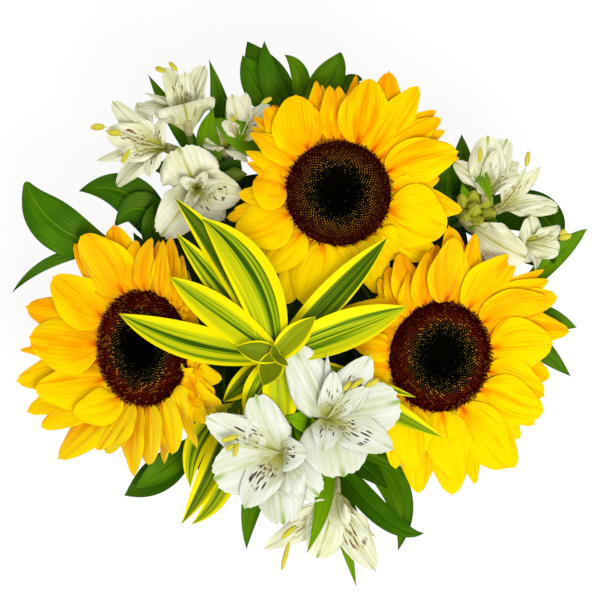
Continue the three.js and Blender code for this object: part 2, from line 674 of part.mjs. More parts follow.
// The rosette's stem stands upright inside the ring of stems, against one thick stem at the
// tie, and ends in its small inner leaves.
const rosetteHead = raised(ROSETTE.head);
const rosetteFoot = heading(ROSETTE.against - STEM_TWIST).multiplyScalar(
  waistRadius(SUNFLOWER_STEM) - SUNFLOWER_STEM - ROSETTE_STEM - CLEARANCE,
);
const rosetteBend = rosetteFoot.clone().setZ(TIE_HEIGHT + 2 * STRAIGHT);
const rosetteUpper = new THREE.CubicBezierCurve3(
  rosetteBend,
  rosetteBend.clone().addScaledVector(UP, 45),
  rosetteHead.clone().addScaledVector(UP, -50),
  rosetteHead,
);
const rosetteCurve = new THREE.CurvePath();
rosetteCurve.add(new THREE.LineCurve3(rosetteFoot.clone().setZ(-BELOW_GROUND), rosetteBend));
rosetteCurve.add(rosetteUpper);

// The point of a rising curve at a height.
function atHeight(curve, height) {
  let low = 0;
  let high = 1;
  for (let i = 0; i < 20; i += 1) {
    const middle = (low + high) / 2;
    if (curve.getPoint(middle).z < height) low = middle;
    else high = middle;
  }
  return curve.getPoint(low);
}

function rosetteStemGeometry() {
  const heart = ROSETTE.heart.map((leaf) => leafBlade(rosetteHead, leaf, {
    outline: STRAP, thickness: STRAP_THICKNESS, cup: 0.25, rows: 4,
  }));
  return toGeometry(stemSolid(rosetteCurve, ROSETTE_STEM, 8).add(joined(heart)));
}

// One long strap leaf, starting just clear of the rosette's stem.
function rosetteLeafGeometry(leaf) {
  const middle = atHeight(rosetteUpper, FACE_HEIGHT + leaf.level);
  const outwards = raised(leaf.tip).sub(middle).setZ(0).normalize();
  const base = middle.addScaledVector(outwards, ROSETTE_STEM + CLEARANCE);
  return leafBlade(base, leaf, {
    outline: STRAP, thickness: STRAP_THICKNESS, cup: 0.2, rows: 5,
  });
}

addPart('striped_rosette_stem', rosetteStemGeometry(), 'striped');
for (const [name, leaf] of Object.entries(ROSETTE.leaves)) {
  addPart(`striped_leaf_${name}`, rosetteLeafGeometry(leaf), 'striped');
}

// A leafy shoot: its stem with every leaf fused on.
function sprayGeometry({ ring, radius, end, arrives, leaves, striped }) {
  const curve = new StemCurve(ring, radius, raised(end), unit(arrives));
  const style = striped
    ? { outline: STRAP, thickness: STRAP_THICKNESS, cup: 0.2, rows: 4, sunk: ROOT }
    : { outline: LEAF, thickness: LEAF_THICKNESS, cup: 0.15, rows: 4, sunk: ROOT };
  const blades = leaves.map((leaf) => leafBlade(curve.above(leaf.at), leaf, style));
  return toGeometry(stemSolid(curve, radius, 7).add(joined(blades)));
}

for (const spray of SPRAYS) {
  addPart(spray.name, sprayGeometry(spray), spray.striped ? 'striped' : 'leaf');
}

// The binding round the stems: a plain flat band.
function tieGeometry() {
  const { height, thickness } = TIE_BAND;
  const inside = TIE_RADIUS;
  const outside = TIE_RADIUS + thickness;
  const profile = [
    [inside, -height / 2], [outside, -height / 2], [outside, height / 2], [inside, height / 2],
    [inside, -height / 2],
  ];
  return turned(profile, 28, new THREE.Vector3(0, 0, TIE_HEIGHT), UP);
}

addPart('tie', tieGeometry(), 'tie');

export default model;
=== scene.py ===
"""Looks of a cut, hand-tied bunch of flowers that stands face up on its stem ends.

Three large sunflower blooms lie round a rosette of striped strap leaves, with white trumpet
flowers and green leaves between them. Sizes are in millimetres and become metres where a mesh is
made. +X is the bunch's right, +Y its far side, +Z up, and z = 0 is the ground. Heights in the
tables are counted from the level of the flower faces. Sunflower petals, and the leaves that have
a read_at, are places read off the photograph in its pixels; the rest are millimetres.
"""

import logging
import math
from collections.abc import Mapping, Sequence
from dataclasses import dataclass, field
from enum import Enum
from typing import Any

import bpy
import numpy as np
from mathutils import Matrix, Vector


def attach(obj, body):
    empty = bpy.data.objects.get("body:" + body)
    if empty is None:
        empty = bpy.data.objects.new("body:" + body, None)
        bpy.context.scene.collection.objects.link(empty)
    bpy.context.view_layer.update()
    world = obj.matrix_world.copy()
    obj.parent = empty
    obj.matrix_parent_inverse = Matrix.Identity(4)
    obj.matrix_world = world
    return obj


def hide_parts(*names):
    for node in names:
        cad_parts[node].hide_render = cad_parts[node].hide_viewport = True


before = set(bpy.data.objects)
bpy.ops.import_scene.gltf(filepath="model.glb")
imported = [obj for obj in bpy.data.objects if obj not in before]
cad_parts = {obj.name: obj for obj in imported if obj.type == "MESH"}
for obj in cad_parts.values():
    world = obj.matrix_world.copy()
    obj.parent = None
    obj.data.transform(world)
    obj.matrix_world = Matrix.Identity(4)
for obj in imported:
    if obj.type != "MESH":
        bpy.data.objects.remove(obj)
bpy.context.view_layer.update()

LOG = logging.getLogger("bunch")

# Driving sizes of the whole bunch, in millimetres
METRES = 0.001  # in a millimetre
FACE_HEIGHT = 152.0  # of the flower faces
TIE_HEIGHT = 66.0  # of the middle of the binding
TIE_RADIUS = 24.0  # of the inside of the binding
TIE_BAND_HEIGHT = 13.0
STEM_SLANT = math.radians(41)  # lean of every stem where it passes the tie
STEM_TWIST = 58.0  # degrees that a stem turns round the bunch from the tie to its flower
STRAIGHT = 4.0  # how far above the binding a stem stays straight
BEND_FROM_TIE = 0.4  # how far a bend's handle reaches at each end, as a share of tie to head
BEND_TO_HEAD = 0.38
CLEARANCE = 0.3  # between a piece and the one that carries it

# Stem radii
SUNFLOWER_STEM = 5.2
FLOWER_STEM = 2.8
LEAF_STEM = 2.2
ROSETTE_STEM = 4.0
PEDICEL = 1.3

# How the photograph is read
PIXEL = 0.6  # millimetres to a pixel, at the level of the flower faces
PHOTO_MIDDLE = 300.0  # pixels from the photograph's left and upper edges to its middle
CAMERA_HEIGHT = 3600.0  # above the flower faces
CAMERA_SHIFT = 9.0  # how far to +Y of the bunch's origin the camera stands

UP = np.array((0.0, 0.0, 1.0))
LEAST_HALF_WIDTH = 0.12  # so that the end of a blade or a turned body never shrinks to a point
EDGE_ANGLE = math.radians(70)  # edges sharper than this aren't smoothed
GOLDEN_ANGLE = math.pi * (3 - math.sqrt(5))  # from one floret of a disc to the next

Triple = tuple[float, float, float]
Colour = tuple[float, float, float]
Pixel = tuple[float, float]
Four = tuple[float, float, float, float]
Socket = bpy.types.NodeSocket


class Slot(Enum):
    """Material slots of the record."""

    PETAL = "petal"
    DISC = "disc"
    TEPAL = "tepal"
    STRIPED = "striped"
    LEAF = "leaf"
    STEM = "stem"
    TIE = "tie"


class TepalRow(Enum):
    """The two rows of tepals in a white flower, and the one that is flecked all over."""

    OUTER = 0.0
    INNER = 0.5
    FLECKED = 1.0


# Places and directions


def unit(vector: Sequence[float] | np.ndarray) -> np.ndarray:
    """Returns a vector, or every row of an array of them, at length one."""
    array = np.asarray(vector, float)
    return array / np.linalg.norm(array, axis=-1, keepdims=True)


def heading(degrees: float) -> np.ndarray:
    """Returns the level direction that points along an angle in degrees."""
    angle = math.radians(degrees)
    return np.array((math.cos(angle), math.sin(angle), 0.0))


def leaning(tilt: float, towards: float) -> np.ndarray:
    """Returns the way a face looks when it leans by tilt towards an angle, both in degrees."""
    lean = math.radians(tilt)
    return heading(towards) * math.sin(lean) + UP * math.cos(lean)


def raised(place: Triple) -> np.ndarray:
    """Returns a place of the tables lifted to the level of the flower faces."""
    return np.array(place, float) + UP * FACE_HEIGHT


def seen_at(pixel: Pixel, height: float) -> np.ndarray:
    """Works out where a pixel of the photograph lies on a level.

    Args:
        pixel: pixels from the photograph's left and upper edges.
        height: the level, counted from the flower faces.

    Returns:
        The place (x, y) on that level.
    """
    nearer = 1 - height / CAMERA_HEIGHT
    x = (pixel[0] - PHOTO_MIDDLE) * PIXEL * nearer
    y = CAMERA_SHIFT + (PHOTO_MIDDLE - pixel[1]) * PIXEL * nearer
    return np.array((x, y))


def read_at(x: float, y: float, *height: float) -> tuple[float, ...]:
    """Works out the place of a pixel of the photograph, as if at the level of the flower faces.

    Args:
        x: pixels from the photograph's left edge.
        y: pixels from its upper edge.
        height: the place's height, where it has one, counted from the flower faces.

    Returns:
        The place to a tenth of a millimetre, with the height as it was given.
    """
    across = (x - PHOTO_MIDDLE) * PIXEL
    up = (PHOTO_MIDDLE - y) * PIXEL + CAMERA_SHIFT
    return round(across, 1), round(up, 1), *height


def rolled(vector: np.ndarray, axis: np.ndarray, degrees: float) -> np.ndarray:
    """Turns a vector about an axis.

    Args:
        vector: the vector to turn.
        axis: a direction of length one.
        degrees: how far to turn.

    Returns:
        The turned vector.
    """
    angle = math.radians(degrees)
    level = axis * np.dot(axis, vector) * (1 - math.cos(angle))
    return vector * math.cos(angle) + np.cross(axis, vector) * math.sin(angle) + level


def smooth_step(value: np.ndarray, low: float, high: float) -> np.ndarray:
    """Returns a soft rise from 0 at low to 1 at high."""
    share = np.clip((value - low) / (high - low), 0.0, 1.0)
    return share * share * (3 - 2 * share)


@dataclass(frozen=True)
class Bezier:
    """A Bezier curve through space."""

    controls: tuple[np.ndarray, ...]

    def at(self, t: np.ndarray) -> np.ndarray:
        """Returns the points of the curve at each t."""
        return self._blend(self.controls, t)

    def along(self, t: np.ndarray) -> np.ndarray:
        """Returns the direction of the curve at each t."""
        steps = tuple(b - a for a, b in zip(self.controls, self.controls[1:]))
        return unit(self._blend(steps, t))

    @staticmethod
    def _blend(controls: tuple[np.ndarray, ...], t: np.ndarray) -> np.ndarray:
        """Blends control points by the Bernstein polynomials.

        Args:
            controls: the control points.
            t: places along the curve, from 0 to 1.

        Returns:
            The blended point at each t.
        """
        degree = len(controls) - 1
        t = np.asarray(t, float)[..., None]
        return sum(
            math.comb(degree, i) * t**i * (1 - t) ** (degree - i) * control
            for i, control in enumerate(controls)
        )


# Meshes


class Shell:
    """Points and faces of one piece, gathered blade by blade and rod by rod."""

    def __init__(self) -> None:
        """Starts with nothing."""
        self.points: list[np.ndarray] = []
        self.faces: list[tuple[int, ...]] = []
        self.places: list[np.ndarray] = []
        self.tints: list[np.ndarray] = []
        self.unders: list[np.ndarray] = []
        self.count = 0

    def add(
        self,
        points: np.ndarray,
        faces: Sequence[Sequence[int]],
        place: np.ndarray,
        tint: float = 0.0,
        under: np.ndarray | None = None,
    ) -> None:
        """Adds one closed surface.

        Args:
            points: its corners, one a row, in millimetres.
            faces: rows of corner numbers, counted from this surface's first corner.
            place: for each corner, its place across, along and the surface's own chance number.
            tint: a number that the finish reads as it likes.
            under: 1 for each corner on the back of a blade, and 0 elsewhere.
        """
        self.points.append(points)
        self.faces.extend(tuple(int(i) + self.count for i in face) for face in faces)
        self.places.append(place)
        self.tints.append(np.full(len(points), tint))
        self.unders.append(np.zeros(len(points)) if under is None else under)
        self.count += len(points)

    def piece(self, name: str, material: bpy.types.Material) -> bpy.types.Object:
        """Makes a Blender object of all that was added.

        Args:
            name: the piece's name.
            material: its finish.

        Returns:
            The object, at the origin.
        """
        mesh = bpy.data.meshes.new(name)
        mesh.from_pydata(np.concatenate(self.points) * METRES, [], self.faces)
        place = mesh.attributes.new("place", "FLOAT_VECTOR", "POINT")
        place.data.foreach_set("vector", np.concatenate(self.places).astype(np.float32).ravel())
        for label, values in (("tint", self.tints), ("under", self.unders)):
            attribute = mesh.attributes.new(label, "FLOAT", "POINT")
            attribute.data.foreach_set("value", np.concatenate(values).astype(np.float32))
        mesh.shade_smooth()
        mesh.set_sharp_from_angle(angle=EDGE_ANGLE)
        return place_mesh(name, mesh, material)

    def settle(self, name: str, material: bpy.types.Material, slot: Slot, *nodes: str) -> None:
        """Makes a piece of all that was added and ties it to the frame.

        Args:
            name: the piece's name.
            material: its finish.
            slot: the record's slot for its finish, handed on to settle, which doesn't use it.
            nodes: the CAD nodes that it stands for.
        """
        settle(self.piece(name, material), slot, *nodes)


def place_mesh(name: str, mesh: bpy.types.Mesh, material: bpy.types.Material) -> bpy.types.Object:
    """Puts a finished mesh into the scene as an object at the origin.

    Args:
        name: the object's name.
        mesh: its mesh, in metres.
        material: its only material.

    Returns:
        The object.
    """
    mesh.materials.clear()
    mesh.materials.append(material)
    piece = bpy.data.objects.new(name, mesh)
    bpy.context.scene.collection.objects.link(piece)
    return piece


def settle(piece: bpy.types.Object, slot: Slot, *nodes: str) -> None:
    """Ties a piece to the frame and reports it.

    Args:
        piece: the finished piece.
        slot: the record's slot for its finish; not used.
        nodes: the CAD nodes that it stands for.
    """
    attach(piece, "root")
    if nodes:
        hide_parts(*nodes)
    LOG.info("%s: %d faces", piece.name, len(piece.data.polygons))


@dataclass(frozen=True)
class Outline:
    """Outline of a blade: its half widths from root to end as shares, and how its end is cut."""

    widths: tuple[float, ...]
    shoulder: float = 0.0
    notch: float = 0.0
    lip: float = 0.0

    def fullness(self, t: np.ndarray) -> np.ndarray:
        """Returns the share of the full width at each t along the blade."""
        return Bezier(tuple(np.array((width,)) for width in self.widths)).at(t)[..., 0]

    def front(self, s: np.ndarray) -> np.ndarray:
        """Works out how far along the blade its end lies.

        Args:
            s: place across, from -1 to 1.

        Returns:
            The distance as a share of the blade's length.
        """
        rounding = 1.25 * (1 - np.sqrt(1 - 0.96 * s * s))
        dip = self.notch * np.exp(-((s / 0.22) ** 2))
        tip = self.lip * np.exp(-((s / 0.08) ** 2))
        return 1 - self.shoulder * rounding - dip + tip


@dataclass(frozen=True)
class Relief:
    """How a blade's surface stands off the flat: lengths in millimetres, turns in degrees."""

    cup: float = 0.0
    keel: float = 0.0
    pleat: float = 0.0
    pleats: tuple[float, ...] = ()
    rib: float = 0.0
    ribs: float = 6.0
    ruffle: float = 0.0
    ruffles: float = 2.0
    curl: float = 0.0
    twist: float = 0.0
    serration: float = 0.0
    phase: float = 0.0

    def height(self, s: np.ndarray, t: np.ndarray, half: np.ndarray) -> np.ndarray:
        """Works out how far the surface stands off.

        Args:
            s: place across, from -1 to 1.
            t: place along, from 0 to 1.
            half: half the blade's width at t.

        Returns:
            The distance off the flat at each place.
        """
        swell = np.sin(np.pi * np.clip(t, 0.0, 1.0)) ** 0.7
        lift = self.cup * half * s * s - self.keel * np.exp(-((s / 0.13) ** 2)) * swell
        for line in self.pleats:
            lift = lift - self.pleat * swell * np.exp(-(((s - line * (1.1 - 0.5 * t)) / 0.11) ** 2))
        lift = lift + self.rib * np.cos(2 * np.pi * self.ribs * s) * swell
        left = np.sin(2 * np.pi * (self.ruffles * t + self.phase))
        right = np.sin(2 * np.pi * (self.ruffles * 0.83 * t + 1.7 * self.phase))
        edge = np.abs(s) ** 2.6 * smooth_step(t, 0.1, 0.5)
        lift = lift + self.ruffle * edge * np.where(s > 0, left, right)
        lift = lift + self.curl * np.clip((t - 0.55) / 0.45, 0.0, 1.0) ** 2
        return lift + s * half * math.tan(math.radians(self.twist)) * t

    def bite(self, s: np.ndarray, t: np.ndarray) -> np.ndarray:
        """Returns the factor on the half width that makes a finely toothed edge."""
        teeth = np.sin(2 * np.pi * (13.0 * t + self.phase)) + np.sin(2 * np.pi * (23.0 * t + s))
        return 1 + self.serration * teeth * np.abs(s) ** 6 * smooth_step(t, 0.35, 0.7)

    def fringe(self, s: np.ndarray, t: np.ndarray) -> np.ndarray:
        """Returns the factor on the length that makes the blade's end finely toothed."""
        teeth = np.sin(2 * np.pi * (5.0 * s + self.phase)) + np.sin(2 * np.pi * (8.0 * s - 0.2))
        return 1 + 0.5 * self.serration * teeth * t**6


@dataclass(frozen=True)
class Blade:
    """A petal, tepal or leaf: a thin closed body along a curve."""

    curve: Bezier
    outline: Outline
    width: float
    facing: np.ndarray
    thickness: float = 0.4
    relief: Relief = Relief()
    rows: int = 28
    columns: int = 16
    chance: float = 0.5
    tint: float = 0.0

    def add_to(self, shell: Shell) -> None:
        """Adds the blade to a piece.

        Args:
            shell: the piece.
        """
        across = np.linspace(-1.0, 1.0, self.columns + 1)
        s, t = np.meshgrid(across, np.linspace(0.0, 1.0, self.rows + 1))
        reach = (t * self.outline.front(s) * self.relief.fringe(s, t)).ravel()
        middle = self.curve.at(reach)
        tangent = self.curve.along(reach)
        side = unit(np.cross(self.facing, tangent))
        normal = np.cross(tangent, side)
        half = np.maximum(self.width / 2 * self.outline.fullness(t), LEAST_HALF_WIDTH)
        lateral = (s * half * self.relief.bite(s, t)).ravel()[:, None]
        height = self.relief.height(s, t, half).ravel()[:, None]
        top = middle + side * lateral + normal * (height + self.thickness / 2)
        inner = (np.abs(s) < 1 - 1e-6) & (t > 1e-6) & (t < 1 - 1e-6)
        inner = inner.ravel()
        bottom = (top - normal * self.thickness)[inner]
        place = np.stack((s.ravel(), t.ravel(), np.full(s.size, self.chance)), axis=1)
        under = np.concatenate((np.zeros(s.size), np.ones(len(bottom))))
        shell.add(
            np.concatenate((top, bottom)),
            self._faces(inner, s.shape),
            np.concatenate((place, place[inner])),
            self.tint,
            under,
        )

    @staticmethod
    def _faces(inner: np.ndarray, shape: tuple[int, int]) -> np.ndarray:
        """Joins the front and back of a blade along its edge.

        Args:
            inner: which corners of the front have a corner of their own on the back.
            shape: rows and columns of corners.

        Returns:
            Rows of four corner numbers.
        """
        front = np.arange(inner.size)
        back = front.copy()
        back[inner] = inner.size + np.arange(int(inner.sum()))
        front, back = front.reshape(shape), back.reshape(shape)
        low, high = slice(None, -1), slice(1, None)
        top = [front[low, low], front[high, low], front[high, high], front[low, high]]
        below = [back[low, low], back[low, high], back[high, high], back[high, low]]
        sheets = [np.stack(sheet, axis=-1).reshape(-1, 4) for sheet in (top, below)]
        return np.concatenate(sheets)


def ring_faces(rings: int, sides: int) -> list[tuple[int, ...]]:
    """Joins rings of corners, and closes the first and the last ring.

    Args:
        rings: how many rings there are.
        sides: how many corners a ring has.

    Returns:
        The corner numbers of each face.
    """
    last = (rings - 1) * sides
    faces = [tuple(range(sides - 1, -1, -1)), tuple(range(last, last + sides))]
    for ring in range(rings - 1):
        for i in range(sides):
            a, b = ring * sides + i, ring * sides + (i + 1) % sides
            faces.append((a, b, b + sides, a + sides))
    return faces


def ring_places(rings: int, sides: int, chance: float) -> np.ndarray:
    """Works out the place of each corner of a row of rings.

    Args:
        rings: how many rings there are.
        sides: how many corners a ring has.
        chance: the body's chance number.

    Returns:
        For each corner, its share of the way round and along, and the chance number.
    """
    along = np.repeat(np.linspace(0, 1, rings), sides)
    around = np.tile(np.arange(sides) / sides, rings)
    return np.stack((around, along, np.full(rings * sides, chance)), axis=1)


def ring_rim(side: np.ndarray, other: np.ndarray, sides: int, ribs: int, rib: float) -> np.ndarray:
    """Lays out a ring of corners about one unit from its middle.

    Args:
        side: a direction of length one in the plane of the ring.
        other: the direction in that plane square to it.
        sides: how many corners the ring has.
        ribs: how many ridges it has.
        rib: how far a ridge stands out, as a share.

    Returns:
        The corners, one a row.
    """
    spin = np.linspace(0, 2 * np.pi, sides, endpoint=False)
    swell = 1 + rib * np.cos(ribs * spin)
    return np.outer(np.cos(spin) * swell, side) + np.outer(np.sin(spin) * swell, other)


def across_from(axis: np.ndarray) -> np.ndarray:
    """Returns a direction square to an axis."""
    start = np.array((1.0, 0.0, 0.0)) if abs(axis[0]) < 0.9 else UP
    return unit(np.cross(axis, start))


@dataclass(frozen=True)
class Rod:
    """A round rod through a row of points, closed at both ends."""

    path: np.ndarray
    radii: np.ndarray
    sides: int = 10
    ribs: int = 0
    rib: float = 0.0
    chance: float = 0.5
    tint: float = 0.0
    level_foot: bool = False

    def add_to(self, shell: Shell) -> None:
        """Adds the rod to a piece.

        Args:
            shell: the piece.
        """
        tangents = unit(np.gradient(self.path, axis=0))
        side = across_from(tangents[0])
        rings = []
        for middle, tangent, radius in zip(self.path, tangents, self.radii):
            side = unit(side - tangent * np.dot(side, tangent))
            other = np.cross(tangent, side)
            rings.append(middle + ring_rim(side, other, self.sides, self.ribs, self.rib) * radius)
        if self.level_foot:
            foot = rings[0]
            rings[0] = foot - tangents[0] * (foot[:, 2:] / tangents[0][2])
        faces = ring_faces(len(rings), self.sides)
        place = ring_places(len(rings), self.sides, self.chance)
        shell.add(np.concatenate(rings), faces, place, self.tint)


@dataclass(frozen=True)
class Turned:
    """A turned body: radii and heights from the foot up, on an axis."""

    profile: tuple[tuple[float, float], ...]
    foot: np.ndarray
    axis: np.ndarray
    sides: int = 24
    ribs: int = 0
    rib: float = 0.0
    chance: float = 0.5
    tint: float = 0.0

    def add_to(self, shell: Shell) -> None:
        """Adds the body to a piece.

        Args:
            shell: the piece.
        """
        side = across_from(self.axis)
        rim = ring_rim(side, np.cross(self.axis, side), self.sides, self.ribs, self.rib)
        rings = [
            self.foot + height * self.axis + max(radius, LEAST_HALF_WIDTH) * rim
            for radius, height in self.profile
        ]
        faces = ring_faces(len(rings), self.sides)
        place = ring_places(len(rings), self.sides, self.chance)
        shell.add(np.concatenate(rings), faces, place, self.tint)


# Node trees


class Wire:
    """One value in a node tree. Arithmetic on it adds Math nodes."""

    def __init__(self, graph: "Graph", socket: Socket) -> None:
        """Wraps an output socket of the graph's tree."""
        self.graph = graph
        self.socket = socket

    def math(self, operation: str, *others: "Wire | float") -> "Wire":
        """Returns the result of a Math node with this value first."""
        return self.graph.math(operation, self, *others)

    def __add__(self, other: "Wire | float") -> "Wire":
        """Returns the sum."""
        return self.math("ADD", other)

    __radd__ = __add__

    def __sub__(self, other: "Wire | float") -> "Wire":
        """Returns the difference."""
        return self.math("SUBTRACT", other)

    def __rsub__(self, other: "Wire | float") -> "Wire":
        """Returns the difference with this value last."""
        return self.graph.math("SUBTRACT", other, self)

    def __mul__(self, other: "Wire | float") -> "Wire":
        """Returns the product."""
        return self.math("MULTIPLY", other)

    __rmul__ = __mul__

    def __truediv__(self, other: "Wire | float") -> "Wire":
        """Returns the quotient."""
        return self.math("DIVIDE", other)

    def __pow__(self, other: "Wire | float") -> "Wire":
        """Returns the power."""
        return self.math("POWER", other)

    def size(self) -> "Wire":
        """Returns the value without its sign."""
        return self.math("ABSOLUTE")

    def sine(self) -> "Wire":
        """Returns the sine."""
        return self.math("SINE")

    def wave(self) -> "Wire":
        """Returns the sine, moved to run from 0 to 1."""
        return self.sine() * 0.5 + 0.5

    def rise(self, low: float, high: float) -> "Wire":
        """Returns a soft rise from 0 at low to 1 at high."""
        values = {"Value": self, "From Min": low, "From Max": high}
        return self.graph.wire("ShaderNodeMapRange", {"interpolation_type": "SMOOTHSTEP"}, values)

    def fall(self, low: float, high: float) -> "Wire":
        """Returns a soft fall from 1 at low to 0 at high."""
        return 1 - self.rise(low, high)


class Graph:
    """A node tree under construction."""

    def __init__(self, tree: bpy.types.NodeTree) -> None:
        """Takes an empty tree."""
        self.tree = tree

    def node(
        self,
        kind: str,
        settings: Mapping[str, Any] | None = None,
        values: Mapping[str | int, Any] | None = None,
    ) -> bpy.types.Node:
        """Adds one node.

        Args:
            kind: Blender's name for the type of node.
            settings: its properties, or the stops of its ramp, set before its sockets.
            values: a value or a wire for each input socket that is set.

        Returns:
            The node.
        """
        made = self.tree.nodes.new(kind)
        for name, setting in (settings or {}).items():
            if name == "stops":
                self._set_stops(made.color_ramp, setting)
            else:
                setattr(made, name, setting)
        for name, value in (values or {}).items():
            if isinstance(value, Wire):
                self.tree.links.new(value.socket, made.inputs[name])
            else:
                made.inputs[name].default_value = value
        return made

    def wire(
        self,
        kind: str,
        settings: Mapping[str, Any] | None = None,
        values: Mapping[str | int, Any] | None = None,
        output: str | int = 0,
    ) -> Wire:
        """Adds one node and returns a wire from one of its outputs."""
        return Wire(self, self.node(kind, settings, values).outputs[output])

    def math(self, operation: str, *terms: Wire | float) -> Wire:
        """Adds a Math node on the terms and returns its result."""
        return self.wire("ShaderNodeMath", {"operation": operation}, dict(enumerate(terms)))

    def vector(self, x: Wire | float, y: Wire | float, z: Wire | float) -> Wire:
        """Returns a vector of three values."""
        return self.wire("ShaderNodeCombineXYZ", None, {0: x, 1: y, 2: z})

    def join(self, *parts: Wire) -> Wire:
        """Joins geometry.

        Args:
            parts: the pieces of geometry, in turn.

        Returns:
            All of them as one.
        """
        joined = self.node("GeometryNodeJoinGeometry")
        for part in parts:
            self.tree.links.new(part.socket, joined.inputs[0])
        return Wire(self, joined.outputs[0])

    @staticmethod
    def _set_stops(ramp: bpy.types.ColorRamp, stops: Sequence[tuple[float, Colour]]) -> None:
        """Gives a ramp its stops.

        Args:
            ramp: the ramp.
            stops: the position and colour of each stop.
        """
        while len(ramp.elements) < len(stops):
            ramp.elements.new(1.0)
        for element, (position, colour) in zip(ramp.elements, stops):
            element.position = position
            element.color = (*colour, 1.0)


class Growth(Graph):
    """A Geometry Nodes tree under construction, with numbers for its inputs."""

    def __init__(self, name: str, numbers: Mapping[str, float]) -> None:
        """Starts a tree.

        Args:
            name: its name.
            numbers: the value of each of its inputs, by the input's name.
        """
        super().__init__(bpy.data.node_groups.new(name, "GeometryNodeTree"))
        face = self.tree.interface
        for way in ("INPUT", "OUTPUT"):
            face.new_socket(name="Geometry", in_out=way, socket_type="NodeSocketGeometry")
        self.values: dict[str, float] = {}
        for label, value in numbers.items():
            kind = "NodeSocketInt" if isinstance(value, int) else "NodeSocketFloat"
            socket = face.new_socket(name=label, in_out="INPUT", socket_type=kind)
            self.values[socket.identifier] = value
        self.entry = self.node("NodeGroupInput")

    def given(self) -> list[Wire]:
        """Returns the geometry that the tree is given, and then each of its numbers."""
        return [Wire(self, socket) for socket in self.entry.outputs[:-1]]

    def end(self, geometry: Wire, material: bpy.types.Material) -> None:
        """Ends the tree with one real mesh.

        Args:
            geometry: what it is made of.
            material: its finish.
        """
        plain = self.wire("GeometryNodeRealizeInstances", None, {0: geometry})
        dressed = self.wire("GeometryNodeSetMaterial", None, {0: plain, "Material": material})
        self.node("NodeGroupOutput", None, {0: dressed})

    def grow(self, carrier: bpy.types.Object) -> bpy.types.Mesh:
        """Runs the tree on an object.

        Args:
            carrier: the object, which is used up.

        Returns:
            The mesh that the tree makes of it.
        """
        modifier = carrier.modifiers.new("growth", "NODES")
        modifier.node_group = self.tree
        for identifier, value in self.values.items():
            modifier[identifier] = value
        depsgraph = bpy.context.evaluated_depsgraph_get()
        mesh = bpy.data.meshes.new_from_object(carrier.evaluated_get(depsgraph))
        bpy.data.objects.remove(carrier)
        return mesh


class Shader(Graph):
    """A material's node tree under construction."""

    def __init__(self, name: str) -> None:
        """Starts an empty material.

        Args:
            name: its name.
        """
        self.material = bpy.data.materials.new(name)
        self.material.use_nodes = True
        self.material.node_tree.nodes.clear()
        super().__init__(self.material.node_tree)

    def place(self) -> tuple[Wire, Wire, Wire]:
        """Reads what a piece holds for each corner under place.

        Returns:
            The place across, the place along and the chance number.
        """
        held = self.wire("ShaderNodeAttribute", {"attribute_name": "place"}, None, "Vector")
        split = self.node("ShaderNodeSeparateXYZ", None, {0: held})
        across, along, chance = (Wire(self, socket) for socket in split.outputs)
        return across, along, chance

    def number(self, name: str) -> Wire:
        """Returns a number that the piece holds for each corner."""
        return self.wire("ShaderNodeAttribute", {"attribute_name": name}, None, "Fac")

    def noise(self, x: Wire, y: Wire, z: Wire, detail: float, roughness: float = 0.5) -> Wire:
        """Makes soft noise, from about 0.2 to 0.8, with grains about one unit across.

        Args:
            x: the place to read it at.
            y: the same, the second way.
            z: the same, the third way.
            detail: how many finer layers it has.
            roughness: how strong the finer layers are.

        Returns:
            The noise.
        """
        at = self.vector(x, y, z)
        values = {"Vector": at, "Scale": 1.0, "Detail": detail, "Roughness": roughness}
        return self.wire("ShaderNodeTexNoise", None, values)

    def grain(self, scale: float, detail: float = 3.0) -> Wire:
        """Makes noise in the object's own space.

        Args:
            scale: how many grains go to the metre.
            detail: how many finer layers it has.

        Returns:
            The noise.
        """
        place = self.wire("ShaderNodeTexCoord", None, None, "Object")
        values = {"Vector": place, "Scale": scale, "Detail": detail}
        return self.wire("ShaderNodeTexNoise", None, values)

    def ramp(self, at: Wire, stops: Sequence[tuple[float, Colour]]) -> Wire:
        """Returns the colour of a ramp at a value."""
        return self.wire("ShaderNodeValToRGB", {"stops": stops}, {0: at})

    def blend(self, share: Wire | float, first: Wire | Colour, second: Wire | Colour) -> Wire:
        """Mixes two colours.

        Args:
            share: how much of the second colour there is.
            first: a colour or the wire of one.
            second: a colour or the wire of one.

        Returns:
            The mixed colour.
        """
        ends = [end if isinstance(end, Wire) else (*end, 1.0) for end in (first, second)]
        values = {0: share, 6: ends[0], 7: ends[1]}
        return self.wire("ShaderNodeMix", {"data_type": "RGBA"}, values, 2)

    def surface(
        self,
        colour: Wire,
        roughness: Wire,
        height: Wire,
        depth: float,
        fixed: Mapping[str, Any],
    ) -> bpy.types.Material:
        """Ends the material with its surface.

        Args:
            colour: its colour.
            roughness: its roughness.
            height: its fine relief, as shares of depth.
            depth: the depth of that relief in millimetres.
            fixed: values that are the same all over, by the name of the shader's socket.

        Returns:
            The finished material.
        """
        bump = self.wire("ShaderNodeBump", None, {"Distance": depth * METRES, "Height": height})
        values = {"Base Color": colour, "Roughness": roughness, "Normal": bump, **fixed}
        skin = self.wire("ShaderNodeBsdfPrincipled", None, values)
        self.node("ShaderNodeOutputMaterial", None, {"Surface": skin})
        return self.material


# Finishes


def fixed_gloss(level: float, tint: Colour) -> dict[str, Any]:
    """Returns the settings of a gloss of that strength, tinted like the tissue under it."""
    return {"Specular IOR Level": level, "Specular Tint": (*tint, 1.0)}


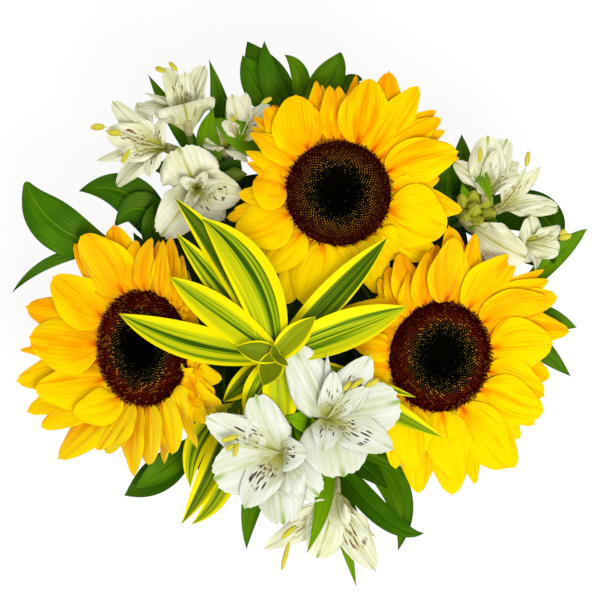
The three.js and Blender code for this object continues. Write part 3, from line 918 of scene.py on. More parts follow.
@dataclass(frozen=True)
class PetalFinish:
    """Sunflower petal: orange at its root, clear yellow at its end, veined along its length."""

    tip: Colour = (0.98, 0.68, 0.0)
    blade: Colour = (0.96, 0.44, 0.0)
    throat: Colour = (0.90, 0.25, 0.0)
    root: Colour = (0.52, 0.07, 0.0)
    back: Colour = (0.80, 0.30, 0.0)
    gloss: Colour = (1.0, 0.75, 0.0)

    def material(self) -> bpy.types.Material:
        """Builds the material.

        Returns:
            The finished material.
        """
        shader = Shader("petal")
        across, along, chance = shader.place()
        tint = shader.number("tint")
        fan = across * (1.15 - along * 0.4)
        streak = shader.noise(fan * 2.6, along * 0.9, chance * 40, 2.0)
        cloud = shader.noise(across * 1.2, along * 1.8, chance * 17, 1.0)
        veins = (fan * 46 + streak * 6).wave()
        # Thin darker orange lines along the petal: painted shade in creases, also in the bump.
        crease_shade = shader.noise(fan * 7, along * 0.6, chance * 53, 1.0).rise(0.58, 0.68)
        # Darker at the root's middle: the petal's own deeper base plus painted shade in its fold.
        root_fold_shade = along.fall(0.04, 0.28) * across.size().fall(0.02, 0.34)
        # Each petal's tint carries painted shade on back rows and painted light on the lit side.
        warm = along.fall(0.05, 0.70) * 0.20 + root_fold_shade * 0.6 + tint * 0.36 + crease_shade * 0.20
        warm = warm + (streak.fall(0.34, 0.46) - 0.15) * 0.20 + (cloud - 0.4) * 0.45
        warm = warm + veins * 0.09 + 0.02 - across.size() ** 2 * 0.24
        stops = ((0.0, self.tip), (0.28, self.blade), (0.66, self.throat), (1.0, self.root))
        colour = shader.ramp(warm, stops)
        colour = shader.blend(shader.number("under") * 0.55, colour, self.back)
        height = streak * 0.5 + veins * 0.4 - crease_shade * 0.5
        rough = 0.42 + streak * 0.16
        return shader.surface(colour, rough, height, 0.20, fixed_gloss(0.3, self.gloss))


@dataclass(frozen=True)
class DiscFinish:
    """Seed disc: near-black heart, golden olive beads in a ring, dark red-brown florets outside."""

    heart: Colour = (0.0002, 0.0004, 0.0001)
    dust: Colour = (0.22, 0.24, 0.20)
    bead: Colour = (0.004, 0.006, 0.001)
    olive: Colour = (0.20, 0.21, 0.014)
    bead_tip: Colour = (0.58, 0.34, 0.025)
    floret: Colour = (0.055, 0.0028, 0.0008)
    floret_tip: Colour = (0.19, 0.014, 0.003)
    spark: Colour = (0.68, 0.24, 0.018)
    beads_from: float = 0.44
    rim_from: float = 0.64
    sparks: float = 0.24

    def material(self) -> bpy.types.Material:
        """Builds the material.

        Returns:
            The finished material.
        """
        shader = Shader("seed_disc")
        zone = shader.number("zone")
        lift = shader.number("lift")
        chance = shader.number("chance")
        reach = zone + chance * 0.2 - 0.1
        ripe = reach.rise(self.beads_from - 0.10, self.beads_from + 0.24)
        ripe_tip = shader.blend(reach.rise(0.42, 0.66), self.olive, self.bead_tip)
        rusty = reach.rise(self.rim_from - 0.12, self.rim_from + 0.10) * 0.8
        ripe_tip = shader.blend(rusty, ripe_tip, self.floret_tip)
        bead_tip = shader.blend(ripe * (0.14 + chance * 0.76), self.heart, ripe_tip)
        bead = shader.blend(ripe, self.heart, self.bead)
        bead = shader.blend(reach.rise(0.48, 0.75) * 0.8, bead, self.floret)
        bead = shader.blend(lift.rise(0.72, 0.96), bead, bead_tip)
        dusty = chance.rise(0.984, 0.988) * zone.fall(0.30, 0.45) * lift.rise(0.9, 0.96)
        bead = shader.blend(dusty, bead, self.dust)
        spark = chance.rise(1 - self.sparks, 1.06 - self.sparks)
        floret_tip = shader.blend(spark, self.floret_tip, self.spark)
        floret = shader.blend(lift.rise(0.35, 1.0), self.floret, floret_tip)
        outer = reach.rise(self.rim_from, self.rim_from + 0.07)
        colour = shader.blend(outer, bead, floret)
        fuzz = shader.grain(2600.0)
        rough = 0.62 + fuzz * 0.3
        return shader.surface(colour, rough, fuzz, 0.12, fixed_gloss(0.05, self.spark))


@dataclass(frozen=True)
class TepalFinish:
    """White flower: cream white, green at the tip and throat, with dark red dashes inside."""

    white: Colour = (0.80, 0.82, 0.74)
    cream: Colour = (0.56, 0.58, 0.32)
    throat: Colour = (0.47, 0.47, 0.08)
    green: Colour = (0.26, 0.40, 0.03)
    dash: Colour = (0.050, 0.003, 0.008)
    rust: Colour = (0.26, 0.11, 0.012)
    tube: Colour = (0.52, 0.50, 0.24)
    midrib: float = 0.5
    stripes: float = 75.4  # radians of stripes round a tube

    def material(self) -> bpy.types.Material:
        """Builds the material.

        Returns:
            The finished material.
        """
        shader = Shader("tepal")
        across, along, chance = shader.place()
        row = shader.number("tint")
        inner = row.rise(0.2, 0.4)
        flecked = row.rise(0.7, 0.9)
        streak = shader.noise(across * 5, along, chance * 30, 3.0)
        veins = (across * 30 + streak * 4).wave()
        cloud = shader.noise(across * 1.6, along * 2.4, chance * 19, 1.0)
        wrinkle = shader.noise(across * 9, along * 2.2, chance * 43, 2.0)
        shade = cloud.rise(0.35, 0.75) * 0.45 + wrinkle.rise(0.45, 0.7) * 0.35
        colour = shader.blend(shade, self.white, self.cream)
        throat = along.fall(0.18, 0.72) * (0.42 + inner * 0.58) * (0.7 + streak * 0.6)
        colour = shader.blend(throat, colour, self.throat)
        rib = across.size().fall(0.01, 0.18) * (0.4 + veins * 0.6) * (1 - inner * 0.4)
        colour = shader.blend(rib * along.fall(0.5, 1.1) * self.midrib, colour, self.throat)
        tip = along.rise(0.82, 0.98) * across.size().fall(0.0, 0.15)
        colour = shader.blend(tip * (0.95 - inner * 0.4), colour, self.green)
        colour = shader.blend(veins * streak * 0.22, colour, self.green)
        worn = across.size().rise(0.93, 1.0) * streak.rise(0.4, 0.6) * 0.5
        colour = shader.blend(worn, colour, self.rust)
        dashes = self._dashes(shader, across, along, chance, inner, flecked)
        ink = shader.blend(along.fall(0.30, 0.50), self.dash, self.rust)
        colour = shader.blend(dashes, colour, ink)
        stripes = (across * self.stripes).sine().rise(0.3, 1.0) * 0.7
        tube = shader.blend(stripes, self.tube, self.rust)
        colour = shader.blend(row.rise(1.4, 1.6), colour, tube)
        height = wrinkle * 0.7 + veins * 0.3
        rough = 0.46 + streak * 0.12
        return shader.surface(colour, rough, height, 0.40, {"Specular IOR Level": 0.25})

    @staticmethod
    def _dashes(
        shader: Shader, across: Wire, along: Wire, chance: Wire, inner: Wire, flecked: Wire
    ) -> Wire:
        """Works out where the dark dashes lie.

        Args:
            shader: the material's tree.
            across: place across a tepal.
            along: place along it.
            chance: its chance number.
            inner: 1 on the inner tepals.
            flecked: 1 on the tepal that is flecked all over.

        Returns:
            1 inside a dash and 0 elsewhere.
        """
        row = inner * (1 - shader.number("tint").rise(1.4, 1.6))
        marks = []
        for columns, rows, low, high in ((6.5, 4.6, 0.52, 0.80), (9.0, 10.0, 0.30, 0.60)):
            at = shader.vector(across * columns + chance * 31, along * rows, 0.0)
            settings = {"voronoi_dimensions": "2D", "feature": "F1"}
            cells = shader.node("ShaderNodeTexVoronoi", settings, {"Vector": at, "Scale": 1.0})
            near = Wire(shader, cells.outputs["Distance"])
            luck = shader.wire(
                "ShaderNodeSeparateColor", None, {0: Wire(shader, cells.outputs["Color"])}
            )
            wanted = luck.rise(0.48, 0.52) * (1 - flecked) + luck.rise(0.15, 0.2) * flecked
            band = along.rise(low, low + 0.06) * along.fall(high - 0.06, high)
            marks.append(near.fall(0.26, 0.33) * wanted * band)
        inside = across.size().fall(0.5, 0.75)
        return (marks[0] + marks[1]) * inside * row


RIPE_TEPAL = TepalFinish(
    white=(0.86, 0.86, 0.68),
    cream=(0.66, 0.64, 0.26),
    throat=(0.42, 0.42, 0.02),
    green=(0.30, 0.36, 0.02),
    dash=(0.16, 0.06, 0.006),
    midrib=1.0,
)


@dataclass(frozen=True)
class StripedFinish:
    """Striped strap leaf: green middle with darker and paler lines, bright yellow margins."""

    margin: Colour = (0.92, 0.80, 0.0)
    pale: Colour = (0.56, 0.58, 0.003)
    green: Colour = (0.12, 0.24, 0.001)
    dark: Colour = (0.014, 0.060, 0.0005)
    lime: Colour = (0.33, 0.43, 0.002)
    heart: Colour = (0.085, 0.125, 0.0005)
    gloss: Colour = (0.8, 1.0, 0.1)

    def material(self) -> bpy.types.Material:
        """Builds the material.

        Returns:
            The finished material.
        """
        shader = Shader("striped_leaf")
        across, along, chance = shader.place()
        tint = shader.number("tint")
        wander = shader.noise(across * 2, along * 1.6, chance * 23, 2.0) - 0.5
        lines = shader.noise(across * 4.6 + wander * 0.6, along * 0.5, chance * 37, 3.0, 0.6)
        fine = shader.noise(across * 26, along * 0.8, chance * 11, 2.0)
        stops = ((0.34, self.dark), (0.45, self.green), (0.54, self.lime), (0.64, self.pale))
        sunny = tint.rise(0.0, 1.0) * 0.09
        contrast = (lines - 0.5) * 1.35 + (fine - 0.5) * 0.5 + 0.5
        body = shader.ramp(contrast + across.size() * 0.34 - 0.11 + sunny, stops)
        body = shader.blend(tint.fall(-1.0, -0.1) * 0.75, body, self.dark)
        body = shader.blend(tint.rise(0.9, 1.2) * 0.55, body, self.pale)
        young = tint.rise(1.4, 1.9)
        body = shader.blend(young * 0.88, body, self.heart)
        lean = (chance - 0.5) * across
        edge = across.size() + (lines - 0.5) * 0.5 + lean + along * 0.05 - young * 0.24
        margin = edge.rise(0.56, 0.72)
        colour = shader.blend(margin, body, self.margin)
        colour = shader.blend(shader.number("under") * 0.35, colour, self.lime)
        height = lines * 0.6 + fine * 0.4
        rough = 0.34 + fine * 0.15
        return shader.surface(colour, rough, height, 0.18, fixed_gloss(0.4, self.gloss))


@dataclass(frozen=True)
class LeafFinish:
    """Glossy green leaf with fine curved veins: tint 0 is dark and tint 1 is fresh green."""

    dark: Colour = (0.002, 0.022, 0.0)
    green: Colour = (0.026, 0.120, 0.0)
    fresh: Colour = (0.16, 0.34, 0.0)
    vein: Colour = (0.17, 0.34, 0.004)
    gloss: Colour = (0.7, 1.0, 0.12)

    def material(self) -> bpy.types.Material:
        """Builds the material.

        Returns:
            The finished material.
        """
        shader = Shader("green_leaf")
        across, along, chance = shader.place()
        tint = shader.number("tint")
        cloud = shader.noise(across * 1.6, along * 3.0, chance * 29, 2.0)
        veins = (across.size() * 34 + cloud * 9).wave()
        fine = shader.noise(across * 24, along * 2.4, chance * 13, 2.0)
        light = tint + (cloud - 0.5) * 0.6 + (fine - 0.5) * 0.22
        colour = shader.ramp(light, ((0.0, self.dark), (0.5, self.green), (1.0, self.fresh)))
        rib = across.size().fall(0.015, 0.06) * 0.45 + veins**5 * cloud * 0.14
        colour = shader.blend(rib, colour, self.vein)
        colour = shader.blend(shader.number("under") * 0.45, colour, self.vein)
        height = veins * 0.25 + fine * 0.4 - across.size().fall(0.0, 0.09) * 0.8
        rough = 0.36 + cloud * 0.16
        return shader.surface(colour, rough, height, 0.22, fixed_gloss(0.4, self.gloss))


@dataclass(frozen=True)
class StemFinish:
    """Green stem with fine lengthwise lines: tint 1 is a pale cut or a yellow-green bud."""

    green: Colour = (0.075, 0.19, 0.018)
    light: Colour = (0.20, 0.34, 0.05)
    pale: Colour = (0.52, 0.54, 0.05)
    lines: float = 150.8  # radians of lines round a stem

    def material(self) -> bpy.types.Material:
        """Builds the material.

        Returns:
            The finished material.
        """
        shader = Shader("green_stem")
        around, along, chance = shader.place()
        lines = (around * self.lines).wave()
        blotch = shader.grain(160.0)
        share = lines * 0.35 + (blotch - 0.4) * 0.9
        colour = shader.blend(share, self.green, self.light)
        colour = shader.blend(shader.number("tint"), colour, self.pale)
        height = lines * 0.5 + shader.grain(1800.0) * 0.5
        rough = 0.48 + blotch * 0.2 + chance * 0.02
        return shader.surface(colour, rough, height, 0.15, fixed_gloss(0.3, self.pale))


@dataclass(frozen=True)
class AntherFinish:
    """Stamen: pale filament at tint 0, olive-yellow pollen sack at tint 1."""

    filament: Colour = (0.66, 0.66, 0.34)
    pollen: Colour = (0.74, 0.66, 0.04)
    shade: Colour = (0.28, 0.26, 0.014)
    seams: float = 12.566  # radians of seams round an anther

    def material(self) -> bpy.types.Material:
        """Builds the material.

        Returns:
            The finished material.
        """
        shader = Shader("stamen")
        around, _, _ = shader.place()
        dust = shader.grain(1500.0)
        seam = (around * self.seams).wave()
        pollen = shader.blend(dust.rise(0.35, 0.7) * 0.5 + seam**6 * 0.4, self.pollen, self.shade)
        colour = shader.blend(shader.number("tint"), self.filament, pollen)
        return shader.surface(colour, 0.55 + dust * 0.3, dust, 0.15, {"Specular IOR Level": 0.3})


@dataclass(frozen=True)
class TwineFinish:
    """Plain natural twine."""

    straw: Colour = (0.55, 0.40, 0.20)
    shade: Colour = (0.26, 0.16, 0.07)

    def material(self) -> bpy.types.Material:
        """Builds the material.

        Returns:
            The finished material.
        """
        shader = Shader("twine")
        strand = shader.grain(900.0, 5.0)
        patch = shader.grain(90.0)
        share = strand.rise(0.35, 0.65) * 0.6 + patch * 0.3
        colour = shader.blend(share, self.shade, self.straw)
        return shader.surface(colour, 0.75 + strand * 0.2, strand, 0.3, {"Sheen Weight": 0.2})


@dataclass(frozen=True)
class Finishes:
    """Every material of the bunch."""

    petal: bpy.types.Material = field(default_factory=PetalFinish().material)
    tepal: bpy.types.Material = field(default_factory=TepalFinish().material)
    ripe_tepal: bpy.types.Material = field(default_factory=RIPE_TEPAL.material)
    striped: bpy.types.Material = field(default_factory=StripedFinish().material)
    leaf: bpy.types.Material = field(default_factory=LeafFinish().material)
    stem: bpy.types.Material = field(default_factory=StemFinish().material)
    anther: bpy.types.Material = field(default_factory=AntherFinish().material)
    twine: bpy.types.Material = field(default_factory=TwineFinish().material)


# Stems


def waist_radius(radius: float) -> float:
    """Works out how far from the middle of the tie a slanted stem runs.

    Args:
        radius: the stem's radius.

    Returns:
        The distance at the middle of the binding.
    """
    inside = TIE_RADIUS - 2 * CLEARANCE - 1.05 * radius
    spread = TIE_BAND_HEIGHT / 2 * math.tan(STEM_SLANT)
    return math.sqrt(inside**2 - spread**2)


@dataclass(frozen=True)
class Stem:
    """A stem: straight up through the tie on a slant, then in a bend to its head."""

    ring: float
    radius: float
    head: np.ndarray
    arrives: np.ndarray

    def slant(self) -> np.ndarray:
        """Returns the direction of the stem where it passes the tie."""
        along = np.cross(UP, heading(self.ring - STEM_TWIST))
        return along * math.sin(STEM_SLANT) + UP * math.cos(STEM_SLANT)

    def waist(self) -> np.ndarray:
        """Returns where the stem passes the middle of the tie."""
        return heading(self.ring - STEM_TWIST) * waist_radius(self.radius) + UP * TIE_HEIGHT

    def upper(self) -> Bezier:
        """Works out the bend from just above the tie to the head.

        Returns:
            The curve.
        """
        slant = self.slant()
        reach = float(np.linalg.norm(self.head - self.waist()))
        start = self.waist() + slant * ((TIE_BAND_HEIGHT / 2 + STRAIGHT) / slant[2])
        return Bezier((
            start,
            start + slant * BEND_FROM_TIE * reach,
            self.head - self.arrives * BEND_TO_HEAD * reach,
            self.head,
        ))

    def above(self, share: float) -> np.ndarray:
        """Returns the point at a share of the way from the tie to the head."""
        return self.upper().at(np.array([share]))[0]

    def rod(self, steps: int = 40, sides: int = 16, ribs: int = 8, flare: float = 0.25) -> Rod:
        """Shapes the stem.

        Args:
            steps: rings of corners above the tie.
            sides: corners in a ring.
            ribs: low ridges along the stem.
            flare: how much thicker the stem grows in its last stretch, as a share.

        Returns:
            The rod of the whole stem.
        """
        bend = self.upper().at(np.linspace(0, 1, steps))
        slant = self.slant()
        foot = bend[0] - slant * (bend[0][2] / slant[2])
        straight = np.linspace(foot, bend[0], 12, endpoint=False)
        path = np.concatenate((straight, bend))
        share = np.linspace(0, 1, len(path))
        radii = self.radius * (1.0 - 0.10 * share + flare * smooth_step(share, 0.88, 1.0))
        return Rod(path, radii, sides, ribs, 0.025, level_foot=True)


# Sunflowers


WHOLE_TO_SEEN = ((18, 1.34), (30, 1.24), (math.inf, 1.15))  # whole width by seen width, up to each
PLACING_ROUNDS = 4  # times that a petal's reach and height are worked out from each other


def row_lift(row: float) -> float:
    """Returns how far the tips of a row of petals stand above the plane of the petals."""
    return 3.0 - 4.5 * row


@dataclass(frozen=True)
class SeenPetal:
    """One petal as it was read off the photograph, with places and its width in pixels.

    Width is what shows of it between its neighbours. Row and blunt are as for Petal. Root is
    where it comes out of the disc, and None where that is hidden. Lower marks the petals on the
    low side of the left bloom, which are fuller and blunter than the others.
    """

    tip: Pixel
    width: float
    row: float
    blunt: float
    root: Pixel | None
    lower: bool = False

    def full_width(self) -> float:
        """Works out its whole width: less of a narrow one shows.

        Returns:
            The width in millimetres.
        """
        hidden = next(share for limit, share in WHOLE_TO_SEEN if self.width <= limit)
        fuller = LOWER_FULLER if self.lower else 1.0
        return self.width * hidden * fuller * PIXEL

    def full_blunt(self) -> float:
        """Returns how blunt it is built, to a tenth."""
        blunt = min(LOWER_BLUNTEST, self.blunt + LOWER_BLUNTER) if self.lower else self.blunt
        return round(blunt, 1)


@dataclass(frozen=True)
class Petal:
    """One petal, seen from above: the angle and reach of its tip, its width, and its row.

    Row is 0 for a petal on top and up to 2 for one at the back. Blunt runs from 0 for a pointed
    end to 1 for a rounded one. Swing is how far round the root stands from the tip's angle.
    """

    angle: float
    reach: float
    width: float
    row: float
    blunt: float
    swing: float

    def depth(self) -> float:
        """Returns how far below the disc's rim it is rooted."""
        return 1.9 * self.row - 1.4

    def lift(self) -> float:
        """Returns how far its tip stands above the plane of the petals."""
        return row_lift(self.row)

    def rise(self) -> float:
        """Returns how far its middle stands above its root."""
        return 7.5 - 2.2 * self.row

    def outline(self, lip: float) -> Outline:
        """Works out its outline.

        Args:
            lip: how long the point on its end is, as a share of its length.

        Returns:
            The outline.
        """
        blunt = self.blunt
        return Outline(
            (0.36, 1.16, 1.22 - 0.08 * blunt, 0.98 + 0.28 * blunt, 0.20 + 0.50 * blunt),
            shoulder=0.06 + 0.13 * blunt, lip=lip,
        )


@dataclass(frozen=True)
class BractRow:
    """A row of bracts: how many, where they root and end, how deep they lie, and their width.

    Root is a share of the disc's radius, and reach is counted outwards from its rim.
    """

    count: int
    root: float
    reach: float
    depth: float
    width: float


BRACT_ROWS = (
    BractRow(16, 0.70, 9.0, 12.5, 13.0),
    BractRow(14, 0.55, 3.0, 15.5, 12.0),
    BractRow(11, 0.35, -4.0, 20.0, 11.0),
)
CROWN = 1.7  # power that sets how far out the disc is highest
BEADS_END = 0.97  # how far out beads go, from 0 in the middle to 1 at the rim, less some chance
BRISTLES_START = 0.90  # how far out bristles start, counted in the same way
FLORETS_REACH = 0.965  # share of the disc's radius that the florets cover
BRACT_OUTLINE = Outline((0.9, 1.1, 0.9, 0.45, 0.0))
FOLDED_BELOW = 13.0  # width under which a petal starts to fold lengthwise
PETAL_ROLL = 9.0  # degrees that each petal is rolled to one side
PAINTED_LIGHT_FROM = -78.0  # the side, as an angle, whose petals are painted paler: painted light
LOWER_FULLER = 1.25  # how much wider the petals on the low side of the left bloom are built
LOWER_BLUNTER = 0.25  # how much blunter they are built than they were read
LOWER_BLUNTEST = 0.9  # and the bluntest that this makes them
WIDEST_SWING = 40  # degrees that a root may stand away from its tip's angle
ROOT_SHOWS = 1.8  # how far inside the disc's rim a petal's root comes into sight


@dataclass(frozen=True)
class DiscFlorets:
    """The florets of a seed disc, dealt out on a spiral by Geometry Nodes."""

    radius: float
    count: int = 1500
    dome: float = 3.3
    seed: int = 3

    def grow(self, bed: bpy.types.Object, material: bpy.types.Material) -> bpy.types.Mesh:
        """Deals the florets out over a plain disc.

        Args:
            bed: the disc, which is used up.
            material: the finish of the disc and its florets.

        Returns:
            The mesh of both.
        """
        graph = Growth("disc_florets", {
            "Radius": self.radius * METRES,
            "Dome": self.dome * METRES,
            "Count": self.count,
            "Seed": self.seed,
        })
        disc, radius, dome, count, seed = graph.given()
        index = graph.wire("GeometryNodeInputIndex")
        zone = ((index + 0.5) / count).math("SQRT")
        angle = index * GOLDEN_ANGLE
        wave = (zone**CROWN * math.pi).sine()
        place = graph.vector(
            angle.math("COSINE") * zone * radius, angle.sine() * zone * radius, wave * dome
        )
        points = graph.wire("GeometryNodePoints", None, {"Count": count, "Position": place})
        limits = {2: 0.0, 3: 1.0, "Seed": seed}
        chance = graph.wire("FunctionNodeRandomValue", {"data_type": "FLOAT"}, limits, 1)
        points = self._held(graph, points, "zone", zone)
        points = self._held(graph, points, "chance", chance)
        spacing = radius * graph.math("SQRT", graph.math("DIVIDE", math.pi, count))
        steep = (zone - 0.70) * 1.5 * zone.rise(0.66, 0.8)
        out = graph.vector(angle.math("COSINE") * steep, angle.sine() * steep, 1.0)
        straight = graph.wire(
            "FunctionNodeAlignRotationToVector", {"axis": "Z"}, {"Vector": out}
        )
        spin = graph.vector(chance * 0.5 - 0.25, chance * 0.4 - 0.2, chance * 6.283)
        turn = graph.wire("FunctionNodeEulerToRotation", None, {0: spin})
        turned = graph.wire(
            "FunctionNodeRotateRotation",
            {"rotation_space": "LOCAL"},
            {"Rotation": straight, "Rotate By": turn},
        )
        mixed = zone + chance * 0.2
        beads = self._instances(
            graph, points, self._bead(graph), mixed.math("LESS_THAN", BEADS_END), turned,
            spacing * (0.28 + zone * 0.16), spacing * (0.28 + zone * 0.75),
        )
        bristles = self._instances(
            graph, points, self._bristle(graph), mixed.math("GREATER_THAN", BRISTLES_START), turned,
            spacing * 0.40, spacing * (0.40 + zone * 0.3 + chance * 0.6),
        )
        graph.end(graph.join(bristles, beads, disc), material)
        return graph.grow(bed)

    @staticmethod
    def _held(graph: Graph, geometry: Wire, name: str, value: Wire) -> Wire:
        """Stores a number on geometry under a name.

        Args:
            graph: the tree.
            geometry: the points or mesh.
            name: the name.
            value: the number.

        Returns:
            The geometry with the number.
        """
        settings = {"data_type": "FLOAT", "domain": "POINT"}
        values = {"Geometry": geometry, "Name": name, "Value": value}
        return graph.wire("GeometryNodeStoreNamedAttribute", settings, values)

    def _bead(self, graph: Graph) -> Wire:
        """Makes a low rounded bud, two units across and high, with its middle at height 0.

        Args:
            graph: the tree.

        Returns:
            The mesh.
        """
        ball = graph.wire(
            "GeometryNodeMeshUVSphere", None, {"Segments": 6, "Rings": 4, "Radius": 1.0}
        )
        return self._with_lift(graph, ball, 0.5, 0.5)

    def _bristle(self, graph: Graph) -> Wire:
        """Makes an open tube with a pointed style in it, about two units high.

        Args:
            graph: the tree.

        Returns:
            The mesh.
        """
        tube = graph.wire(
            "GeometryNodeMeshCone",
            {"fill_type": "NONE"},
            {"Vertices": 5, "Radius Top": 0.95, "Radius Bottom": 0.45, "Depth": 1.5},
        )
        style = graph.wire(
            "GeometryNodeMeshCone",
            {"fill_type": "NGON"},
            {"Vertices": 4, "Radius Top": 0.05, "Radius Bottom": 0.42, "Depth": 2.2},
        )
        return self._with_lift(graph, graph.join(tube, style), 0.45, 0.0)

    def _with_lift(self, graph: Graph, mesh: Wire, share: float, offset: float) -> Wire:
        """Stores how high each corner of a floret lies, as a share, and returns the mesh.

        Args:
            graph: the tree.
            mesh: the floret's mesh.
            share: how much one unit of height counts for.
            offset: the share at height 0.

        Returns:
            The mesh with the number stored.
        """
        position = graph.wire("GeometryNodeInputPosition")
        height = graph.wire("ShaderNodeSeparateXYZ", None, {0: position}, 2)
        return self._held(graph, mesh, "lift", height * share + offset)

    @staticmethod
    def _instances(
        graph: Graph,
        points: Wire,
        shape: Wire,
        chosen: Wire,
        rotation: Wire,
        width: Wire,
        height: Wire,
    ) -> Wire:
        """Puts one shape on the chosen points.

        Args:
            graph: the tree.
            points: where florets stand.
            shape: the floret.
            chosen: 1 for the points that get this shape.
            rotation: how each one is turned.
            width: the size of one unit across.
            height: the size of one unit along.

        Returns:
            The instances.
        """
        values = {
            "Points": points, "Selection": chosen, "Instance": shape, "Rotation": rotation,
            "Scale": graph.vector(width, width, height),
        }
        return graph.wire("GeometryNodeInstanceOnPoints", None, values)


@dataclass(frozen=True)
class Sunflower:
    """One sunflower bloom. Crumpled petals are (angle, reach from the centre, width)."""

    name: str
    centre: Triple
    disc: float
    tilt: float
    petal_tilt: float
    towards: float
    ring: float
    petals: tuple[SeenPetal, ...]
    crumpled: tuple[tuple[float, float, float], ...] = ()
    seed: int = 1
    disc_finish: DiscFinish = DiscFinish()
    calyx_depth: float = 28.0
    calyx_top: float = 9.0

    def axis(self) -> np.ndarray:
        """Returns the way the disc faces."""
        return leaning(self.tilt, self.towards)

    def middle(self) -> np.ndarray:
        """Returns the middle of the disc's rim."""
        return raised(self.centre)

    def root_error(self, angle: float, root: Pixel) -> float:
        """Works out how far a root at an angle lies from where it is seen.

        Args:
            angle: the angle of the root, in degrees.
            root: the pixel where it is seen.

        Returns:
            The turn between the two about the disc's middle, in radians.
        """
        axis, centre = self.axis(), np.array(self.centre, float)
        level = heading(angle)
        outwards = unit(level - axis * np.dot(level, axis))
        base = centre + outwards * (self.disc - ROOT_SHOWS)
        seen = seen_at(root, base[2]) - centre[:2]
        flat = outwards[:2] / np.hypot(*outwards[:2])
        return abs(math.atan2(flat[0] * seen[1] - flat[1] * seen[0], float(np.dot(flat, seen))))

    def placed(self, seen: SeenPetal) -> Petal:
        """Works out a petal from where it is seen.

        Args:
            seen: the petal as it was read off the photograph.

        Returns:
            The petal, with its sizes to a tenth and its swing to a whole degree.
        """
        centre = np.array(self.centre, float)
        plane = leaning(self.petal_tilt, self.towards)
        lift = row_lift(seen.row)
        height = centre[2]
        for _ in range(PLACING_ROUNDS):
            spread = seen_at(seen.tip, height) - centre[:2]
            reach = np.hypot(*spread)
            level = spread / reach
            slope = (plane[0] * level[0] + plane[1] * level[1]) * reach / plane[2]
            height = centre[2] + lift - slope
        angle = math.degrees(math.atan2(spread[1], spread[0]))
        swing = 0
        if seen.root is not None:
            turns = range(-WIDEST_SWING, WIDEST_SWING + 1)
            swing = min(turns, key=lambda turn: self.root_error(angle + turn, seen.root))
        sizes = (round(float(size), 1) for size in (angle, reach, seen.full_width()))
        return Petal(*sizes, seen.row, seen.full_blunt(), swing)

    def petal_curve(self, petal: Petal) -> Bezier:
        """Works out the middle line of a petal, from under the disc's rim to its tip.

        Args:
            petal: its place and size.

        Returns:
            The curve.
        """
        axis, centre = self.axis(), self.middle()
        root = heading(petal.angle + petal.swing)
        outwards = unit(root - axis * np.dot(root, axis))
        base = centre + outwards * (self.disc - 1.4) - axis * petal.depth()
        level = heading(petal.angle)
        plane = leaning(self.petal_tilt, self.towards)
        tip = centre + level * petal.reach
        tip[2] += petal.lift() - np.dot(plane[:2], level[:2]) * petal.reach / plane[2]
        middle = base + outwards * (petal.reach - self.disc) * 0.4 + axis * petal.rise()
        return Bezier((base, middle, tip))

    def petal(self, petal: Petal, dice: np.random.Generator) -> Blade:
        """Shapes one petal.

        Args:
            petal: its place and size.
            dice: the source of its small differences.

        Returns:
            The blade.
        """
        width = petal.width
        curve = self.petal_curve(petal)
        chord = unit(curve.controls[2] - curve.controls[0])
        facing = rolled(self.axis(), chord, PETAL_ROLL + dice.uniform(-6, 6))
        folded = float(np.clip((FOLDED_BELOW - width) / 6, 0, 1))
        spread = dice.uniform(0.26, 0.40)
        relief = Relief(
            cup=-0.14 - 0.20 * folded + dice.uniform(-0.10, 0.10),
            keel=dice.uniform(0.2, 0.9) * width / 24,
            pleat=dice.uniform(0.7, 1.6) * width / 24,
            pleats=(-spread, spread * dice.uniform(0.8, 1.2)),
            rib=0.03,
            ribs=dice.uniform(4.0, 6.0),
            ruffle=dice.uniform(0.5, 1.6),
            ruffles=dice.uniform(0.8, 1.8),
            curl=dice.uniform(-2.5, 1.5),
            twist=dice.uniform(-8, 8),
            phase=dice.uniform(0, 1),
        )
        # Petals on the side towards the light are painted paler yellow: painted light.
        lit_side = float(np.dot(heading(petal.angle), heading(PAINTED_LIGHT_FROM)))
        painted_light = 0.32 * lit_side + 0.20 * max(0.0, lit_side) ** 3
        # Back rows are painted more orange: painted shade.
        tint = 0.09 * petal.row + 0.2 * folded - painted_light + dice.uniform(-0.14, 0.14)
        return Blade(
            curve, petal.outline(dice.uniform(0.01, 0.03)), width, facing, 0.5, relief, rows=30,
            columns=18, chance=dice.uniform(0, 1), tint=tint,
        )

    def build_petals(self, finishes: Finishes) -> None:
        """Makes both rows of petals, the crumpled ones and the drum they are rooted in.

        Args:
            finishes: the materials of the bunch.
        """
        dice = np.random.default_rng(self.seed)
        shell = Shell()
        for seen in self.petals:
            self.petal(self.placed(seen), dice).add_to(shell)
        for petal in self.crumpled:
            self.crumpled_petal(petal, dice).add_to(shell)
        rim = self.disc + 1.0
        profile = (
            (rim - 3, 0.0), (rim - 0.4, 1.6), (rim + 5, 5.0), (rim + 5.4, 5.6), (rim, 7.4),
            (rim - 1.4, 8.8), (rim - 5, 8.8),
        )
        foot = self.middle() - self.axis() * 10
        Turned(profile, foot, self.axis(), 48, 0, 0.0, 0.5, 0.9).add_to(shell)
        name = f"sunflower_{self.name}_petals"
        shell.settle(f"petals_{self.name}", finishes.petal, Slot.PETAL, name)

